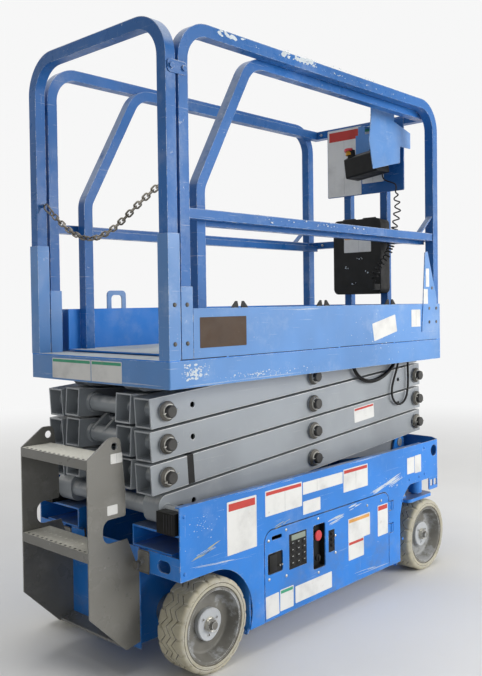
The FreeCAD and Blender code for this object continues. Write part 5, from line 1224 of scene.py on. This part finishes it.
def build_chassis_trims():
    """Cleat faces with their bolts, the yellow plug and its lead, and the ribs of the low slide blocks."""
    bm = bmesh.new()
    for side in (-1, 1):
        y = side * 0.213
        slab(bm, (SIDE_REAR_X - 0.0045, y - 0.026, 0.326), (SIDE_REAR_X - 0.0032, y + 0.026, 0.400), 0.0006, 1)
        hexagon(bm, (SIDE_REAR_X - 0.030, y, CLEAT_Z), (-1, 0, 0), 0.024, 0.010)
    dress(bm, "cleat_faces", "chassis", "washer")
    bm = bmesh.new()
    slab(bm, (-0.724, 0.106, 0.350), (-0.7085, 0.152, 0.371), 0.003)
    sweep(bm, [(-0.716, 0.112, 0.360), (-0.716, 0.100, 0.372), (-0.714, 0.094, 0.388), (-0.712, 0.098, 0.402),
               (-0.709, 0.106, 0.410)], 0.0035, finish=1)
    dress(bm, "yellow_plug", "chassis", ["yellow", "cord"])
    low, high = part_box("slide_blocks_low")
    bm = bmesh.new()
    width = 0.052
    for side in (-1, 1):
        for k in range(4):
            y = side * (high.y - width + width * (0.14 + 0.24 * k))
            slab(bm, (low.x - 0.0012, y - 0.0015, low.z + 0.006), (low.x + 0.001, y + 0.0015, high.z - 0.006),
                 0.0004, 1)
    dress(bm, "block_ribs", "slide_blocks_low", "case")


# Stage

AIM = Vector((0, 0, 0.9))
PALE = (0.93, 0.93, 0.93, 1)
# each lamp: name, place, width, height, power and colour
LAMPS = (("key", (2.3, -6.0, 2.6), 3.2, 3.0, 300, (1.0, 0.985, 0.96)),
         ("window", (4.1, -3.7, 1.75), 3.6, 1.9, 46, (0.99, 0.99, 1.0)),
         ("fill", (-5.0, -2.2, 2.2), 3.0, 3.0, 16, (0.98, 0.98, 1.0)),
         ("top", (0.0, 0.7, 9.6), 6.6, 6.6, 410, (1, 1, 1)),
         ("back", (-1.0, 5.0, 3.0), 3.0, 3.0, 36, (1, 1, 1)))


def seen_directly(tree):
    """1 for what the camera or a mirror sees, 0 for light on its way to a dull face."""
    path = tree.nodes.new("ShaderNodeLightPath")
    either = tree.nodes.new("ShaderNodeMath")
    either.operation = "MAXIMUM"
    tree.links.new(path.outputs["Is Camera Ray"], either.inputs[0])
    tree.links.new(path.outputs["Is Glossy Ray"], either.inputs[1])
    return either.outputs["Value"]


def build_floor():
    """A pale floor that fades into the backdrop with distance."""
    bm = bmesh.new()
    bmesh.ops.create_grid(bm, x_segments=1, y_segments=1, size=20)
    mesh = bpy.data.meshes.new("studio_floor")
    bm.to_mesh(mesh)
    bm.free()
    skin = Finish("studio floor")
    tone = skin.mix(skin.spots(0.3, 0.7, 0.8, 5), (0.74, 0.735, 0.72), (0.78, 0.775, 0.76))
    mesh.materials.append(skin.finish(tone, 0.7))
    away = skin.new("ShaderNodeVectorMath", operation="LENGTH")
    skin.feed(away.inputs[0], skin.place)
    pale = skin.new("ShaderNodeEmission")
    pale.inputs["Color"].default_value = PALE
    share = skin.new("ShaderNodeMixShader")
    skin.feed(share.inputs[0], skin.times(skin.band(away.outputs["Value"], 2.2, 6.5), seen_directly(skin.tree)))
    skin.feed(share.inputs[1], skin.shader.outputs[0])
    skin.feed(share.inputs[2], pale.outputs[0])
    output = next(n for n in skin.tree.nodes if n.type == "OUTPUT_MATERIAL")
    skin.feed(output.inputs["Surface"], share.outputs[0])
    add("studio_floor", mesh)


def build_world(scene):
    """Soft light from all round, and a paler backdrop for the camera."""
    world = bpy.data.worlds.new("studio")
    scene.world = world
    world.use_nodes = True
    tree = world.node_tree
    tree.nodes.clear()
    choice = tree.nodes.new("ShaderNodeMixShader")
    tree.links.new(seen_directly(tree), choice.inputs[0])
    for socket, shade, strength in ((1, (0.97, 0.985, 1.0, 1), 0.24), (2, PALE, 1.0)):
        light = tree.nodes.new("ShaderNodeBackground")
        light.inputs["Color"].default_value = shade
        light.inputs["Strength"].default_value = strength
        tree.links.new(light.outputs[0], choice.inputs[socket])
    tree.links.new(choice.outputs[0], tree.nodes.new("ShaderNodeOutputWorld").inputs[0])


def build_camera(scene):
    """The camera where the photograph was taken, as solved from it."""
    data = bpy.data.cameras.new("studio_camera")
    data.sensor_width = 36
    data.lens = 42.48
    data.shift_x = -0.0037
    data.shift_y = -0.0246
    data.clip_end = 100
    camera = add("studio_camera", data)
    heading, pitch, roll = 0.748052, -0.02406, -0.012835
    ahead = Vector((math.cos(heading) * math.cos(pitch), math.sin(heading) * math.cos(pitch), math.sin(pitch)))
    right = ahead.cross(Vector((0, 0, 1))).normalized()
    up = right.cross(ahead)
    side = right * math.cos(roll) + up * math.sin(roll)
    top = up * math.cos(roll) - right * math.sin(roll)
    turned = Matrix((side, top, -ahead)).transposed().to_4x4()
    camera.matrix_world = Matrix.Translation((-2.34365, -2.17519, 1.18760)) @ turned
    scene.camera = camera


def build_stage():
    """Pale floor and backdrop, soft lamps and the camera."""
    scene = bpy.context.scene
    scene.view_settings.view_transform = "Standard"
    build_floor()
    build_world(scene)
    for name, place, width, height, power, shade in LAMPS:
        data = bpy.data.lights.new(name + "_lamp", "AREA")
        data.shape = "RECTANGLE"
        data.size = width
        data.size_y = height
        data.energy = power
        data.color = shade
        lamp = add(name + "_lamp", data)
        lamp.location = place
        lamp.rotation_euler = (AIM - Vector(place)).to_track_quat("-Z", "Y").to_euler()
    build_camera(scene)


# Operators

NODE_FINISHES = {
    "deck": ("main_deck", "extension_deck"),
    # rails take the darker copy of the paint, which paints shade on them
    "rail": ("placard_board", "entry_arch", "extension_front_frame", "extension_rails", "side_rail_left",
             "side_rail_right"),
    # platform panels take the paler copy of the paint, which paints a sheen on them
    "panel": ("toe_panels", "platform_skirt", "rail_sockets", "control_guard"),
    "ladder": ("ladder",),
    "black": ("hydraulic_unit", "ground_controls", "control_box", "manual_box", "slide_blocks_low",
              "slide_blocks_high"),
    "case": ("battery_pack",),
    "steel": ("rear_axle", "tie_rod"),
    "arm": ("lift_barrel",),
    "chrome": ("lift_rod",),
    "cord": ("coiled_cord", "control_lead", "platform_hose", "platform_cable"),
    "chain": ("entry_chain",),
}


def coat_cad_nodes():
    """Gives each CAD node its finish, by its name or by the word that begins or ends it."""
    named = {name: finish for finish, names in NODE_FINISHES.items() for name in names}
    for name, obj in NODES.items():
        finish = named.get(name, "body")
        for word in ("arm", "rim", "tyre"):
            if name.startswith(word) or name.endswith(word):
                finish = word
        obj.data.materials.clear()
        obj.data.materials.append(FINISH[finish])


class LIFT_OT_finishes(bpy.types.Operator):
    """Make the finishes and coat the CAD pieces with them"""
    bl_idname = "lift.finishes"
    bl_label = "Finishes"

    def execute(self, context):
        FINISH.update(make_finishes())
        coat_cad_nodes()
        return {"FINISHED"}


class LIFT_OT_tyres(bpy.types.Operator):
    """Make the treaded tyres, the axle nuts and the hub plates"""
    bl_idname = "lift.tyres"
    bl_label = "Tyres and hubs"

    def execute(self, context):
        build_tyres(context.scene.lift_sizes)
        build_wheel_nuts()
        return {"FINISHED"}


class LIFT_OT_pins(bpy.types.Operator):
    """Make the washers and ends of the arm pins and the panel fasteners"""
    bl_idname = "lift.pins"
    bl_label = "Pins and fasteners"

    def execute(self, context):
        build_arm_pins()
        build_fasteners()
        return {"FINISHED"}


class LIFT_OT_cords(bpy.types.Operator):
    """Make the entry chain, the curly cord and the platform hoses"""
    bl_idname = "lift.cords"
    bl_label = "Chain and cords"

    def execute(self, context):
        build_chain(context.scene.lift_sizes)
        build_curly_cord(context.scene.lift_sizes)
        build_platform_hoses()
        return {"FINISHED"}


class LIFT_OT_labels(bpy.types.Operator):
    """Make the blank labels and plates, the marks of use, and the painted highlights along the arm edges"""
    bl_idname = "lift.labels"
    bl_label = "Labels and marks"

    def execute(self, context):
        build_labels()
        build_marks()
        build_arm_band()
        build_arm_edge_highlights()
        return {"FINISHED"}


class LIFT_OT_controls(bpy.types.Operator):
    """Make the switches, buttons, step surfaces and tray equipment"""
    bl_idname = "lift.controls"
    bl_label = "Controls and trims"

    def execute(self, context):
        build_step_grit()
        build_control_panel()
        build_platform_control()
        build_tray_equipment()
        build_platform_trims()
        build_chassis_trims()
        return {"FINISHED"}


class LIFT_OT_stage(bpy.types.Operator):
    """Make the floor, the lamps and the camera"""
    bl_idname = "lift.stage"
    bl_label = "Stage"

    def execute(self, context):
        build_stage()
        return {"FINISHED"}


class LIFT_PT_panel(bpy.types.Panel):
    """Lists the settings and the steps that dress the lift"""
    bl_idname = "LIFT_PT_panel"
    bl_label = "Scissor Lift"
    bl_space_type = "VIEW_3D"
    bl_region_type = "UI"
    bl_category = "Scissor Lift"

    def draw(self, context):
        for group in (context.scene.lift_colours, context.scene.lift_sizes):
            for key in group.bl_rna.properties.keys():
                if key not in ("rna_type", "name"):
                    self.layout.prop(group, key)
        for step in STEPS:
            self.layout.operator(step.bl_idname)


STEPS = (LIFT_OT_finishes, LIFT_OT_tyres, LIFT_OT_pins, LIFT_OT_cords, LIFT_OT_labels, LIFT_OT_controls,
         LIFT_OT_stage)
CLASSES = (LiftColours, LiftSizes, *STEPS, LIFT_PT_panel)


def register():
    for each in CLASSES:
        bpy.utils.register_class(each)
    bpy.types.Scene.lift_colours = PointerProperty(type=LiftColours)
    bpy.types.Scene.lift_sizes = PointerProperty(type=LiftSizes)


def unregister():
    del bpy.types.Scene.lift_sizes
    del bpy.types.Scene.lift_colours
    for each in reversed(CLASSES):
        bpy.utils.unregister_class(each)


def main():
    register()
    bpy.ops.lift.stage()
    bpy.ops.lift.finishes()
    bpy.ops.lift.cords()
    bpy.ops.lift.tyres()
    bpy.ops.lift.pins()
    bpy.ops.lift.labels()
    bpy.ops.lift.controls()


if __name__ == "__main__":
    main()
